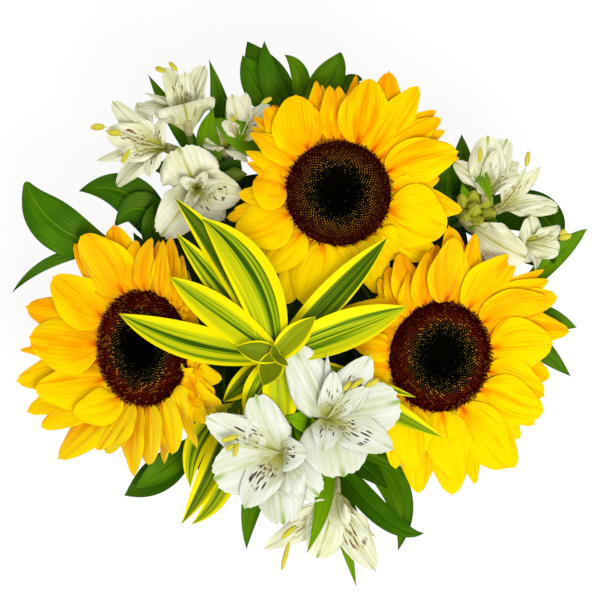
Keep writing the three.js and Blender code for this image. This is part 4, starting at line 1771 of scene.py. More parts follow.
    def crumpled_petal(
        self, petal: tuple[float, float, float], dice: np.random.Generator
    ) -> Blade:
        """Shapes a small folded petal that stands up beside the disc.

        Args:
            petal: its angle, reach and width.
            dice: the source of its small differences.

        Returns:
            The blade.
        """
        angle, reach, width = petal
        axis, centre = self.axis(), self.middle()
        outwards = unit(heading(angle) - axis * np.dot(heading(angle), axis))
        base = centre + outwards * (self.disc - 1) - axis * 4
        tip = centre + outwards * reach + axis * dice.uniform(-3, 1)
        middle = base + outwards * (reach - self.disc) * 0.3 + axis * 9
        chord = unit(tip - base)
        relief = Relief(
            cup=dice.uniform(-0.9, -0.4), pleat=1.2, pleats=(-0.4, 0.1, 0.5), rib=0.2,
            ruffle=2.2, ruffles=2.2, curl=dice.uniform(-3, 3), twist=dice.uniform(-30, 30),
            phase=dice.uniform(0, 1),
        )
        facing = rolled(axis, chord, dice.uniform(-55, 55))
        return Blade(
            Bezier((base, middle, tip)), Outline((0.4, 1.0, 1.4, 0.9, 0.2)), width, facing, 0.5,
            relief, 28, 18, dice.uniform(0, 1), 0.45,
        )

    def build_disc(self) -> None:
        """Makes the seed disc with its florets."""
        material = self.disc_finish.material()
        steps = np.linspace(1.0, 0.0, 16)
        wave = np.sin(np.pi * steps**CROWN)
        radius = self.disc * FLORETS_REACH
        bed = DiscFlorets(radius, seed=self.seed)
        rim = ((radius * 0.97, -3.6), (radius * 0.99, -0.8))
        crown = tuple(
            (radius * 0.99 * step, bed.dome * height - 0.3) for step, height in zip(steps, wave)
        )
        shell = Shell()
        Turned(rim + crown, np.zeros(3), UP, 48).add_to(shell)
        base = shell.piece(f"disc_{self.name}_bed", material)
        for label in ("zone", "lift", "chance"):
            base.data.attributes.new(label, "FLOAT", "POINT")
        corners = np.zeros(len(base.data.vertices) * 3)
        base.data.vertices.foreach_get("co", corners)
        zone = np.linalg.norm(corners.reshape(-1, 3)[:, :2], axis=1) / (radius * METRES)
        base.data.attributes["zone"].data.foreach_set("value", zone.astype(np.float32))
        mesh = bed.grow(base, material)
        turn = Vector(UP).rotation_difference(Vector(self.axis())).to_matrix().to_4x4()
        mesh.transform(Matrix.Translation(Vector(self.middle() * METRES)) @ turn)
        mesh.shade_smooth()
        mesh.set_sharp_from_angle(angle=EDGE_ANGLE)
        piece = place_mesh(f"disc_{self.name}", mesh, material)
        settle(piece, Slot.DISC, f"sunflower_{self.name}_disc")

    def bract(self, bracts: BractRow, angle: float, dice: np.random.Generator) -> Blade:
        """Shapes one bract of the calyx.

        Args:
            bracts: the row that it stands in.
            angle: its place round the calyx, in degrees.
            dice: the source of its small differences.

        Returns:
            The blade.
        """
        axis, centre = self.axis(), self.middle()
        start = unit(np.cross(axis, np.array((0.0, 1.0, 0.0))))
        outwards = rolled(start, axis, angle)
        base = centre + outwards * self.disc * bracts.root - axis * (bracts.depth + 3)
        deep = bracts.depth + dice.uniform(-3, 4)
        tip = centre + outwards * (self.disc + bracts.reach) - axis * deep
        middle = (base + tip) / 2 - axis * 3.5
        relief = Relief(cup=0.25, keel=0.5, ruffle=0.4, phase=dice.uniform(0, 1))
        return Blade(
            Bezier((base, middle, tip)), BRACT_OUTLINE, bracts.width, axis, 0.7, relief, 14, 8,
            dice.uniform(0, 1), dice.uniform(0.3, 0.75),
        )

    def build_calyx(self, finishes: Finishes) -> None:
        """Makes the green cup behind the petals with its rows of pointed bracts.

        Args:
            finishes: the materials of the bunch.
        """
        dice = np.random.default_rng(self.seed + 50)
        axis, centre = self.axis(), self.middle()
        deep = self.calyx_depth - self.calyx_top
        steps = np.linspace(0, 1, 14)
        radii = SUNFLOWER_STEM + 1.0 + (self.disc * 0.86 - SUNFLOWER_STEM) * steps**0.62
        profile = tuple(zip(radii, deep * steps**1.15))
        shell = Shell()
        foot = centre - axis * self.calyx_depth
        Turned(profile, foot, axis, 40, 20, 0.012, 0.3, 0.35).add_to(shell)
        for row, bracts in enumerate(BRACT_ROWS):
            for i in range(bracts.count):
                angle = 360 * (i + 0.5 * row + dice.uniform(-0.2, 0.2)) / bracts.count
                self.bract(bracts, angle, dice).add_to(shell)
        name = f"sunflower_{self.name}_calyx"
        shell.settle(f"calyx_{self.name}", finishes.leaf, Slot.LEAF, name)

    def stem(self) -> Stem:
        """Returns the stem that carries the bloom."""
        neck = self.middle() - self.axis() * (self.calyx_depth + CLEARANCE)
        return Stem(self.ring, SUNFLOWER_STEM, neck, self.axis())

    def build(self, finishes: Finishes) -> None:
        """Makes every piece of the bloom.

        Args:
            finishes: the materials of the bunch.
        """
        self.build_disc()
        self.build_petals(finishes)
        self.build_calyx(finishes)
        shell = Shell()
        self.stem().rod(44, 24, 10).add_to(shell)
        name = f"sunflower_{self.name}_stem"
        shell.settle(f"stem_{self.name}", finishes.stem, Slot.STEM, name)


# Leaves


@dataclass(frozen=True)
class Leaf:
    """A leaf: its tip, width, arch, bow to the left, roll, place on its stem, and tint.

    Over is the place that its middle line crosses halfway, seen from above, in place of a bow.
    Blunt is 0 for a pointed end, 1 for a rounded one, and below 0 for a long drawn-out one.
    Margin is 1 for a striped leaf whose left margin is the broad one, and -1 for the right.
    """

    tip: Triple
    width: float
    arch: float = 0.0
    bow: float = 0.0
    roll: float = 0.0
    at: float = 1.0
    tint: float = 0.5
    level: float = 0.0
    blunt: float = 0.0
    margin: float = 0.0
    over: tuple[float, float] | None = None

    def curve(self, base: np.ndarray, sunk: float = 0.0) -> Bezier:
        """Returns the middle line of the leaf.

        Args:
            base: where it leaves its stem.
            sunk: how far it starts beyond that place.

        Returns:
            The curve from root to tip.
        """
        tip = raised(self.tip)
        root = base - unit(tip - base) * sunk
        side = unit(np.cross(UP, tip - root))
        middle = (root + tip) / 2 + UP * 2 * self.arch + side * 2 * self.bow
        if self.over is not None:
            middle[:2] = 2 * np.array(self.over) - (root[:2] + tip[:2]) / 2
        return Bezier((root, middle, tip))


class LeafKind(Enum):
    """The two kinds of leaf: thickness and the cup of their face."""

    GREEN = (0.6, 0.16)
    STRAP = (0.7, 0.26)

    def outline(self, blunt: float) -> Outline:
        """Works out the outline of a leaf.

        Args:
            blunt: how blunt its end is, as for Leaf.

        Returns:
            The outline.
        """
        if self is LeafKind.STRAP:
            return Outline((0.50, 1.08, 1.26, 1.02, 0.0))
        end = max(0.0, blunt)
        return Outline((0.12, 0.92, 1.45, 0.92 + 0.6 * blunt, 0.40 * end), shoulder=0.10 * end)

    def blade(
        self, leaf: Leaf, base: np.ndarray, dice: np.random.Generator, sunk: float = 2.0
    ) -> Blade:
        """Shapes one leaf.

        Args:
            leaf: the leaf's place and size.
            base: where it leaves its stem.
            dice: the source of its small differences.
            sunk: how far it starts beyond that place.

        Returns:
            The blade.
        """
        thickness, cup = self.value
        curve = leaf.curve(base, sunk)
        chord = unit(curve.controls[2] - curve.controls[0])
        facing = rolled(UP, chord, leaf.roll)
        strap = self is LeafKind.STRAP
        relief = Relief(
            cup=cup + dice.uniform(-0.05, 0.08),
            keel=leaf.width * (0.012 if strap else 0.03),
            rib=0.05 if strap else 0.12,
            ribs=9.0 if strap else 4.0,
            ruffle=dice.uniform(0.1, 0.5) if strap else dice.uniform(0.5, 1.5),
            ruffles=dice.uniform(0.8, 1.8),
            curl=dice.uniform(-2.0, 0.5),
            twist=dice.uniform(-6, 6),
            phase=dice.uniform(0, 1),
        )
        return Blade(
            curve, self.outline(leaf.blunt), leaf.width, facing, thickness, relief, rows=44,
            columns=16, chance=dice.uniform(0.45, 0.55) + 0.35 * leaf.margin, tint=leaf.tint,
        )


# White flowers


TEPAL_SHAPES = {
    TepalRow.OUTER: Outline((0.16, 0.42, 0.92, 1.30, 1.0), shoulder=0.36, notch=0.05, lip=0.05),
    TepalRow.INNER: Outline((0.16, 0.40, 0.95, 1.36, 0.82), shoulder=0.30, notch=0.01, lip=0.04),
    TepalRow.FLECKED: Outline((0.16, 0.42, 1.0, 1.40, 1.0), shoulder=0.34, lip=0.04),
}
OVARY_LENGTH = 20.0  # from the foot of the seed pod to the middle of the throat
TEPAL_ROOT = 11.0  # how far behind the middle of the throat most tepals start
TUBE_MOUTH = 8.5  # how far behind it the tube ends
TUBE_TINT = 2.0  # tells the finish that a surface is a tube, next to the values of TepalRow
BUD_LENGTH = 19.0
ANTHER_LEVEL = 13.0  # height above the throat that the anthers are held at
ANTHER_LENGTH = 4.5  # of a loose anther
ANTHER_STEPS = 12  # rings along an anther
FILAMENT_STEPS = 18  # rings along a filament
FILAMENT_RADII = (0.5, 0.32)  # at its foot and at its anther
FILAMENT_RISE = 6.0  # how far above the throat a filament bends
FILAMENT_LEAN = 0.35  # share of the way out to its anther that it has gone there
FILAMENT_ROOT = 7.0  # how far behind the middle of the throat a filament starts
KNOB = ((1.2, -3.0), (2.9, -1.4), (3.3, 0.2), (2.6, 1.8), (0.8, 2.8))  # where pedicels meet


@dataclass(frozen=True)
class WhiteFlower:
    """One white flower: each tepal is its (angle, reach, rise, width), seen from above.

    Anthers are (x, y) of their near end and (x, y) of their far end, seen from above, and loose
    anthers are so many more that stand where chance puts them. Heel is how far behind the middle
    of the throat the tepals start. A ripe flower is creamier.
    """

    name: str
    throat: Triple
    faces: Triple
    outer: tuple[Four, ...]
    inner: tuple[Four, ...]
    flecked: tuple[Four, ...] = ()
    anthers: tuple[Four, ...] = ()
    loose_anthers: int = 0
    heel: float = TEPAL_ROOT
    ripe: bool = True

    def axis(self) -> np.ndarray:
        """Returns the way the flower faces."""
        return unit(self.faces)

    def middle(self) -> np.ndarray:
        """Returns the middle of the throat."""
        return raised(self.throat)

    def tepal(self, sizes: Four, row: TepalRow, dice: np.random.Generator) -> Blade:
        """Shapes one tepal.

        Args:
            sizes: its angle, reach, rise and width.
            row: the row that it stands in.
            dice: the source of its small differences.

        Returns:
            The blade.
        """
        angle, reach, rise, width = sizes
        axis, throat = self.axis(), self.middle()
        spread = heading(angle) * reach + UP * rise
        controls = (throat - axis * self.heel, throat + axis * 3 + spread * 0.2, throat + spread)
        outer = row is TepalRow.OUTER
        relief = Relief(
            cup=dice.uniform(-0.04, 0.16),
            keel=0.5,
            pleat=dice.uniform(0.4, 1.0),
            pleats=(-dice.uniform(0.35, 0.6), dice.uniform(0.35, 0.6)),
            rib=0.10,
            ribs=dice.uniform(3.0, 5.0),
            ruffle=dice.uniform(1.5, 2.6) if outer else dice.uniform(0.9, 1.8),
            ruffles=dice.uniform(1.3, 2.6),
            curl=dice.uniform(-3.5, 0.0),
            twist=dice.uniform(-10, 10),
            serration=0.012,
            phase=dice.uniform(0, 1),
        )
        return Blade(
            Bezier(controls), TEPAL_SHAPES[row], width, unit(axis - heading(angle)), 0.4, relief,
            rows=40, columns=26 if outer else 20, chance=dice.uniform(0, 1), tint=row.value,
        )

    def stamens(self, shell: Shell, dice: np.random.Generator) -> None:
        """Adds the filaments and anthers to a piece.

        Args:
            shell: the piece.
            dice: the source of their small differences.
        """
        axis, throat = self.axis(), self.middle()
        level = UP * (throat[2] + ANTHER_LEVEL)
        ends = []
        for x0, y0, x1, y1 in self.anthers:
            near = np.array((x0, y0, 0)) + level + UP * dice.uniform(-2, 3)
            ends.append((near, np.array((x1, y1, 0)) + level + UP * dice.uniform(-1, 3)))
        for _ in range(self.loose_anthers):
            side = unit(np.cross(axis, heading(dice.uniform(0, 360))))
            near = throat + axis * dice.uniform(5, 10) + side * dice.uniform(2, 5)
            ends.append((near, near + unit(axis + side * dice.uniform(0.4, 1.4)) * ANTHER_LENGTH))
        for near, far in ends:
            foot = throat - axis * FILAMENT_ROOT
            bend = throat + axis * FILAMENT_RISE + (near - throat) * FILAMENT_LEAN
            path = Bezier((foot, bend, near)).at(np.linspace(0, 1, FILAMENT_STEPS))
            Rod(path, np.linspace(*FILAMENT_RADII, FILAMENT_STEPS), 6).add_to(shell)
            share = np.linspace(0, 1, ANTHER_STEPS)
            bow = np.sin(np.pi * share)[:, None] * UP * 0.8
            radii = 0.3 + 1.5 * np.sin(np.pi * share) ** 0.45
            body = near + (far - near) * share[:, None] + bow
            Rod(body, radii, 10, 2, 0.16, tint=1.0).add_to(shell)

    def pedicel(self, umbel: np.ndarray) -> Rod:
        """Shapes the stalk from the head of the stem to the foot of the seed pod.

        Args:
            umbel: the head of the stem.

        Returns:
            The rod.
        """
        end = self.middle() - self.axis() * (OVARY_LENGTH + CLEARANCE)
        bend = end - self.axis() * 0.5 * float(np.linalg.norm(umbel - end))
        path = Bezier((umbel, bend, end)).at(np.linspace(0, 1, 16))
        return Rod(path, np.linspace(PEDICEL, PEDICEL * 1.15, 16), 10, 5, 0.03, tint=0.15)

    def build(self, group: str, seed: int, finish: bpy.types.Material, stamens: Shell) -> None:
        """Makes the flower.

        Args:
            group: the name of the group that it belongs to.
            seed: the seed of its small differences.
            finish: the material of its tepals.
            stamens: the piece that gathers the group's stamens.
        """
        dice = np.random.default_rng(seed)
        shell = Shell()
        for row, tepals in zip(TepalRow, (self.outer, self.inner, self.flecked)):
            for sizes in tepals:
                self.tepal(sizes, row, dice).add_to(shell)
        axis = self.axis()
        foot = self.middle() - axis * OVARY_LENGTH
        steps = np.linspace(0, 1, 14)
        radii = 1.4 + 1.3 * np.sin(np.pi * steps**0.8) ** 0.8 + 1.4 * smooth_step(steps, 0.4, 1.0)
        tube = tuple(zip(radii, (OVARY_LENGTH - TUBE_MOUTH) * steps))
        Turned(tube, foot, axis, 24, 6, 0.10, dice.uniform(0, 1), TUBE_TINT).add_to(shell)
        self.stamens(stamens, dice)
        name = f"flower_{group}_{self.name}"
        shell.settle(name, finish, Slot.TEPAL, f"white_{name}")


@dataclass(frozen=True)
class FlowerStem:
    """A stem of white flowers with its pedicels, narrow leaves and closed buds."""

    name: str
    ring: float
    umbel: Triple
    rise: Triple
    flowers: tuple[WhiteFlower, ...]
    leaves: tuple[Leaf, ...]
    buds: tuple[Triple, ...] = ()
    bud_tint: float = 0.5
    seed: int = 100

    def stem(self) -> Stem:
        """Returns the stem itself."""
        return Stem(self.ring, FLOWER_STEM, raised(self.umbel), unit(self.rise))

    def bud(self, shell: Shell, place: Triple, dice: np.random.Generator) -> None:
        """Adds one closed bud and its stalk to a piece.

        Args:
            shell: the piece.
            place: the bud's tip.
            dice: the source of its small differences.
        """
        umbel, tip = raised(self.umbel), raised(place)
        axis = unit(tip - umbel)
        foot = tip - axis * BUD_LENGTH
        steps = np.linspace(0, 1, 16)
        radii = 0.3 + 4.3 * np.sin(np.pi * steps**0.7) * (1 - 0.2 * steps)
        tint = self.bud_tint + dice.uniform(-0.1, 0.2)
        profile = tuple(zip(radii, BUD_LENGTH * steps))
        Turned(profile, foot, axis, 24, 6, 0.15, 0.5, tint).add_to(shell)
        path = np.linspace(umbel, foot + axis, 6)
        Rod(path, np.full(6, PEDICEL), 8, tint=0.15).add_to(shell)

    def build(self, finishes: Finishes) -> None:
        """Makes the stem, its leaves, its flowers and their stamens.

        Args:
            finishes: the materials of the bunch.
        """
        dice = np.random.default_rng(self.seed)
        stem, umbel = self.stem(), raised(self.umbel)
        shell = Shell()
        stem.rod(36, 14, 6, 0.15).add_to(shell)
        Turned(KNOB, umbel, UP, 16).add_to(shell)
        for flower in self.flowers:
            flower.pedicel(umbel).add_to(shell)
        for place in self.buds:
            self.bud(shell, place, dice)
        shell.settle(f"stalks_{self.name}", finishes.stem, Slot.STEM)
        greens = Shell()
        for leaf in self.leaves:
            LeafKind.GREEN.blade(leaf, stem.above(leaf.at), dice).add_to(greens)
        name = f"white_flower_stem_{self.name}"
        greens.settle(f"narrow_leaves_{self.name}", finishes.leaf, Slot.LEAF, name)
        stamens = Shell()
        for number, flower in enumerate(self.flowers):
            finish = finishes.ripe_tepal if flower.ripe else finishes.tepal
            flower.build(self.name, self.seed + 1 + number, finish, stamens)
        stamens.settle(f"stamens_{self.name}", finishes.anther, Slot.TEPAL)


# Striped and green foliage


@dataclass(frozen=True)
class StripedRosette:
    """The rosette of striped strap leaves, with its small inner leaves and its stem."""

    head: Triple = (-14, -24, 33)
    against: float = 340.0
    leaves: Mapping[str, Leaf] = field(default_factory=dict)
    heart: tuple[Leaf, ...] = ()
    seed: int = 40

    def lower(self) -> np.ndarray:
        """Returns where the stem passes the tie, upright inside the ring of stems."""
        inside = waist_radius(SUNFLOWER_STEM) - SUNFLOWER_STEM - ROSETTE_STEM - CLEARANCE
        return heading(self.against - STEM_TWIST) * inside

    def upper(self) -> Bezier:
        """Works out the bend from just above the tie to the head.

        Returns:
            The curve.
        """
        bend = self.lower() + UP * (TIE_HEIGHT + 2 * STRAIGHT)
        head = raised(self.head)
        return Bezier((bend, bend + UP * 45, head - UP * 50, head))

    def root(self, leaf: Leaf) -> np.ndarray:
        """Works out where a strap leaf meets the stem at its level.

        Args:
            leaf: the leaf.

        Returns:
            The place.
        """
        share = np.linspace(0, 1, 400)
        points = self.upper().at(share)
        middle = points[np.searchsorted(points[:, 2], FACE_HEIGHT + leaf.level)]
        outwards = raised(leaf.tip) - middle
        outwards[2] = 0
        return middle + unit(outwards) * (ROSETTE_STEM - 0.6)

    def build(self, finishes: Finishes) -> None:
        """Makes the stem, the strap leaves and the inner leaves.

        Args:
            finishes: the materials of the bunch.
        """
        dice = np.random.default_rng(self.seed)
        for name, leaf in self.leaves.items():
            shell = Shell()
            LeafKind.STRAP.blade(leaf, self.root(leaf), dice, 0.0).add_to(shell)
            shell.settle(f"strap_{name}", finishes.striped, Slot.STRIPED, f"striped_leaf_{name}")
        shell = Shell()
        for leaf in self.heart:
            LeafKind.STRAP.blade(leaf, raised(self.head), dice).add_to(shell)
        shell.settle("rosette_heart", finishes.striped, Slot.STRIPED, "striped_rosette_stem")
        lower = np.linspace(self.lower(), self.upper().controls[0], 10, endpoint=False)
        path = np.concatenate((lower, self.upper().at(np.linspace(0, 0.97, 36))))
        radii = ROSETTE_STEM * (1 - 0.25 * smooth_step(np.linspace(0, 1, len(path)), 0.8, 1.0))
        stalk = Shell()
        Rod(path, radii, 20, 3, 0.02, level_foot=True, tint=0.25).add_to(stalk)
        stalk.settle("rosette_stalk", finishes.stem, Slot.STEM)


@dataclass(frozen=True)
class Spray:
    """A leafy shoot."""

    name: str
    ring: float
    end: Triple
    arrives: Triple
    leaves: tuple[Leaf, ...]
    kind: LeafKind = LeafKind.GREEN
    radius: float = LEAF_STEM
    seed: int = 60

    def build(self, finishes: Finishes) -> None:
        """Makes the shoot's stem and its leaves.

        Args:
            finishes: the materials of the bunch.
        """
        dice = np.random.default_rng(self.seed)
        stem = Stem(self.ring, self.radius, raised(self.end), unit(self.arrives))
        stalk = Shell()
        stem.rod(36, 12, 5, -0.3).add_to(stalk)
        stalk.settle(f"{self.name}_stalk", finishes.stem, Slot.STEM)
        shell = Shell()
        for leaf in self.leaves:
            self.kind.blade(leaf, stem.above(leaf.at), dice).add_to(shell)
        striped = self.kind is LeafKind.STRAP
        material = finishes.striped if striped else finishes.leaf
        slot = Slot.STRIPED if striped else Slot.LEAF
        shell.settle(f"{self.name}_leaves", material, slot, self.name)


@dataclass(frozen=True)
class Undergrowth:
    """Leaves on the sunflower stems, filling the gaps between blooms, painted dark as shade."""

    leaves: Mapping[str, tuple[Leaf, ...]]
    seed: int = 80

    def build(self, blooms: Sequence[Sunflower], finishes: Finishes) -> None:
        """Makes the leaves of every sunflower stem.

        Args:
            blooms: the sunflowers.
            finishes: the materials of the bunch.
        """
        dice = np.random.default_rng(self.seed)
        for bloom in blooms:
            shell = Shell()
            for leaf in self.leaves[bloom.name]:
                LeafKind.GREEN.blade(leaf, bloom.stem().above(leaf.at), dice).add_to(shell)
            shell.settle(f"undergrowth_{bloom.name}", finishes.leaf, Slot.LEAF)


@dataclass(frozen=True)
class Tie:
    """The binding: plain twine wound round the stems by Geometry Nodes.

    Steps are the corners in a turn. Lay is how far the twine's own strands twist from one to the
    next, in radians, and groove is the radius between strands as a share of the twine's.
    """

    turns: float = 5.2
    strand: float = 1.25
    height: float = 10.6
    steps: int = 90
    lay: float = 0.55
    groove: float = 0.72

    def build(self, finishes: Finishes) -> None:
        """Makes the wound twine.

        Args:
            finishes: the materials of the bunch.
        """
        graph = Growth("wound_twine", {
            "Turns": self.turns,
            "Radius": (TIE_RADIUS + self.strand) * METRES,
            "Height": self.height * METRES,
            "Strand": self.strand * METRES,
        })
        _, turns, radius, height, strand = graph.given()
        sizes = {
            "Resolution": self.steps, "Rotations": turns, "Start Radius": radius,
            "End Radius": radius, "Height": height,
        }
        winding = graph.wire("GeometryNodeCurveSpiral", None, sizes)
        tilt = graph.wire("GeometryNodeInputIndex") * self.lay
        tilted = graph.wire("GeometryNodeSetCurveTilt", None, {"Curve": winding, "Tilt": tilt})
        sizes = {
            "Points": 3, "Inner Radius": strand * self.groove, "Outer Radius": strand, "Twist": 0.0,
        }
        lobes = graph.wire("GeometryNodeCurveStar", None, sizes)
        parts = {"Curve": tilted, "Profile Curve": lobes, "Fill Caps": True}
        graph.end(graph.wire("GeometryNodeCurveToMesh", None, parts), finishes.twine)
        carrier = bpy.data.objects.new("twine_carrier", bpy.data.meshes.new("twine_carrier"))
        bpy.context.scene.collection.objects.link(carrier)
        mesh = graph.grow(carrier)
        mesh.transform(Matrix.Translation(Vector((0, 0, (TIE_HEIGHT - self.height / 2) * METRES))))
        mesh.shade_smooth()
        settle(place_mesh("wound_twine", mesh, finishes.twine), Slot.TIE, "tie")


# The bunch's own sizes and places

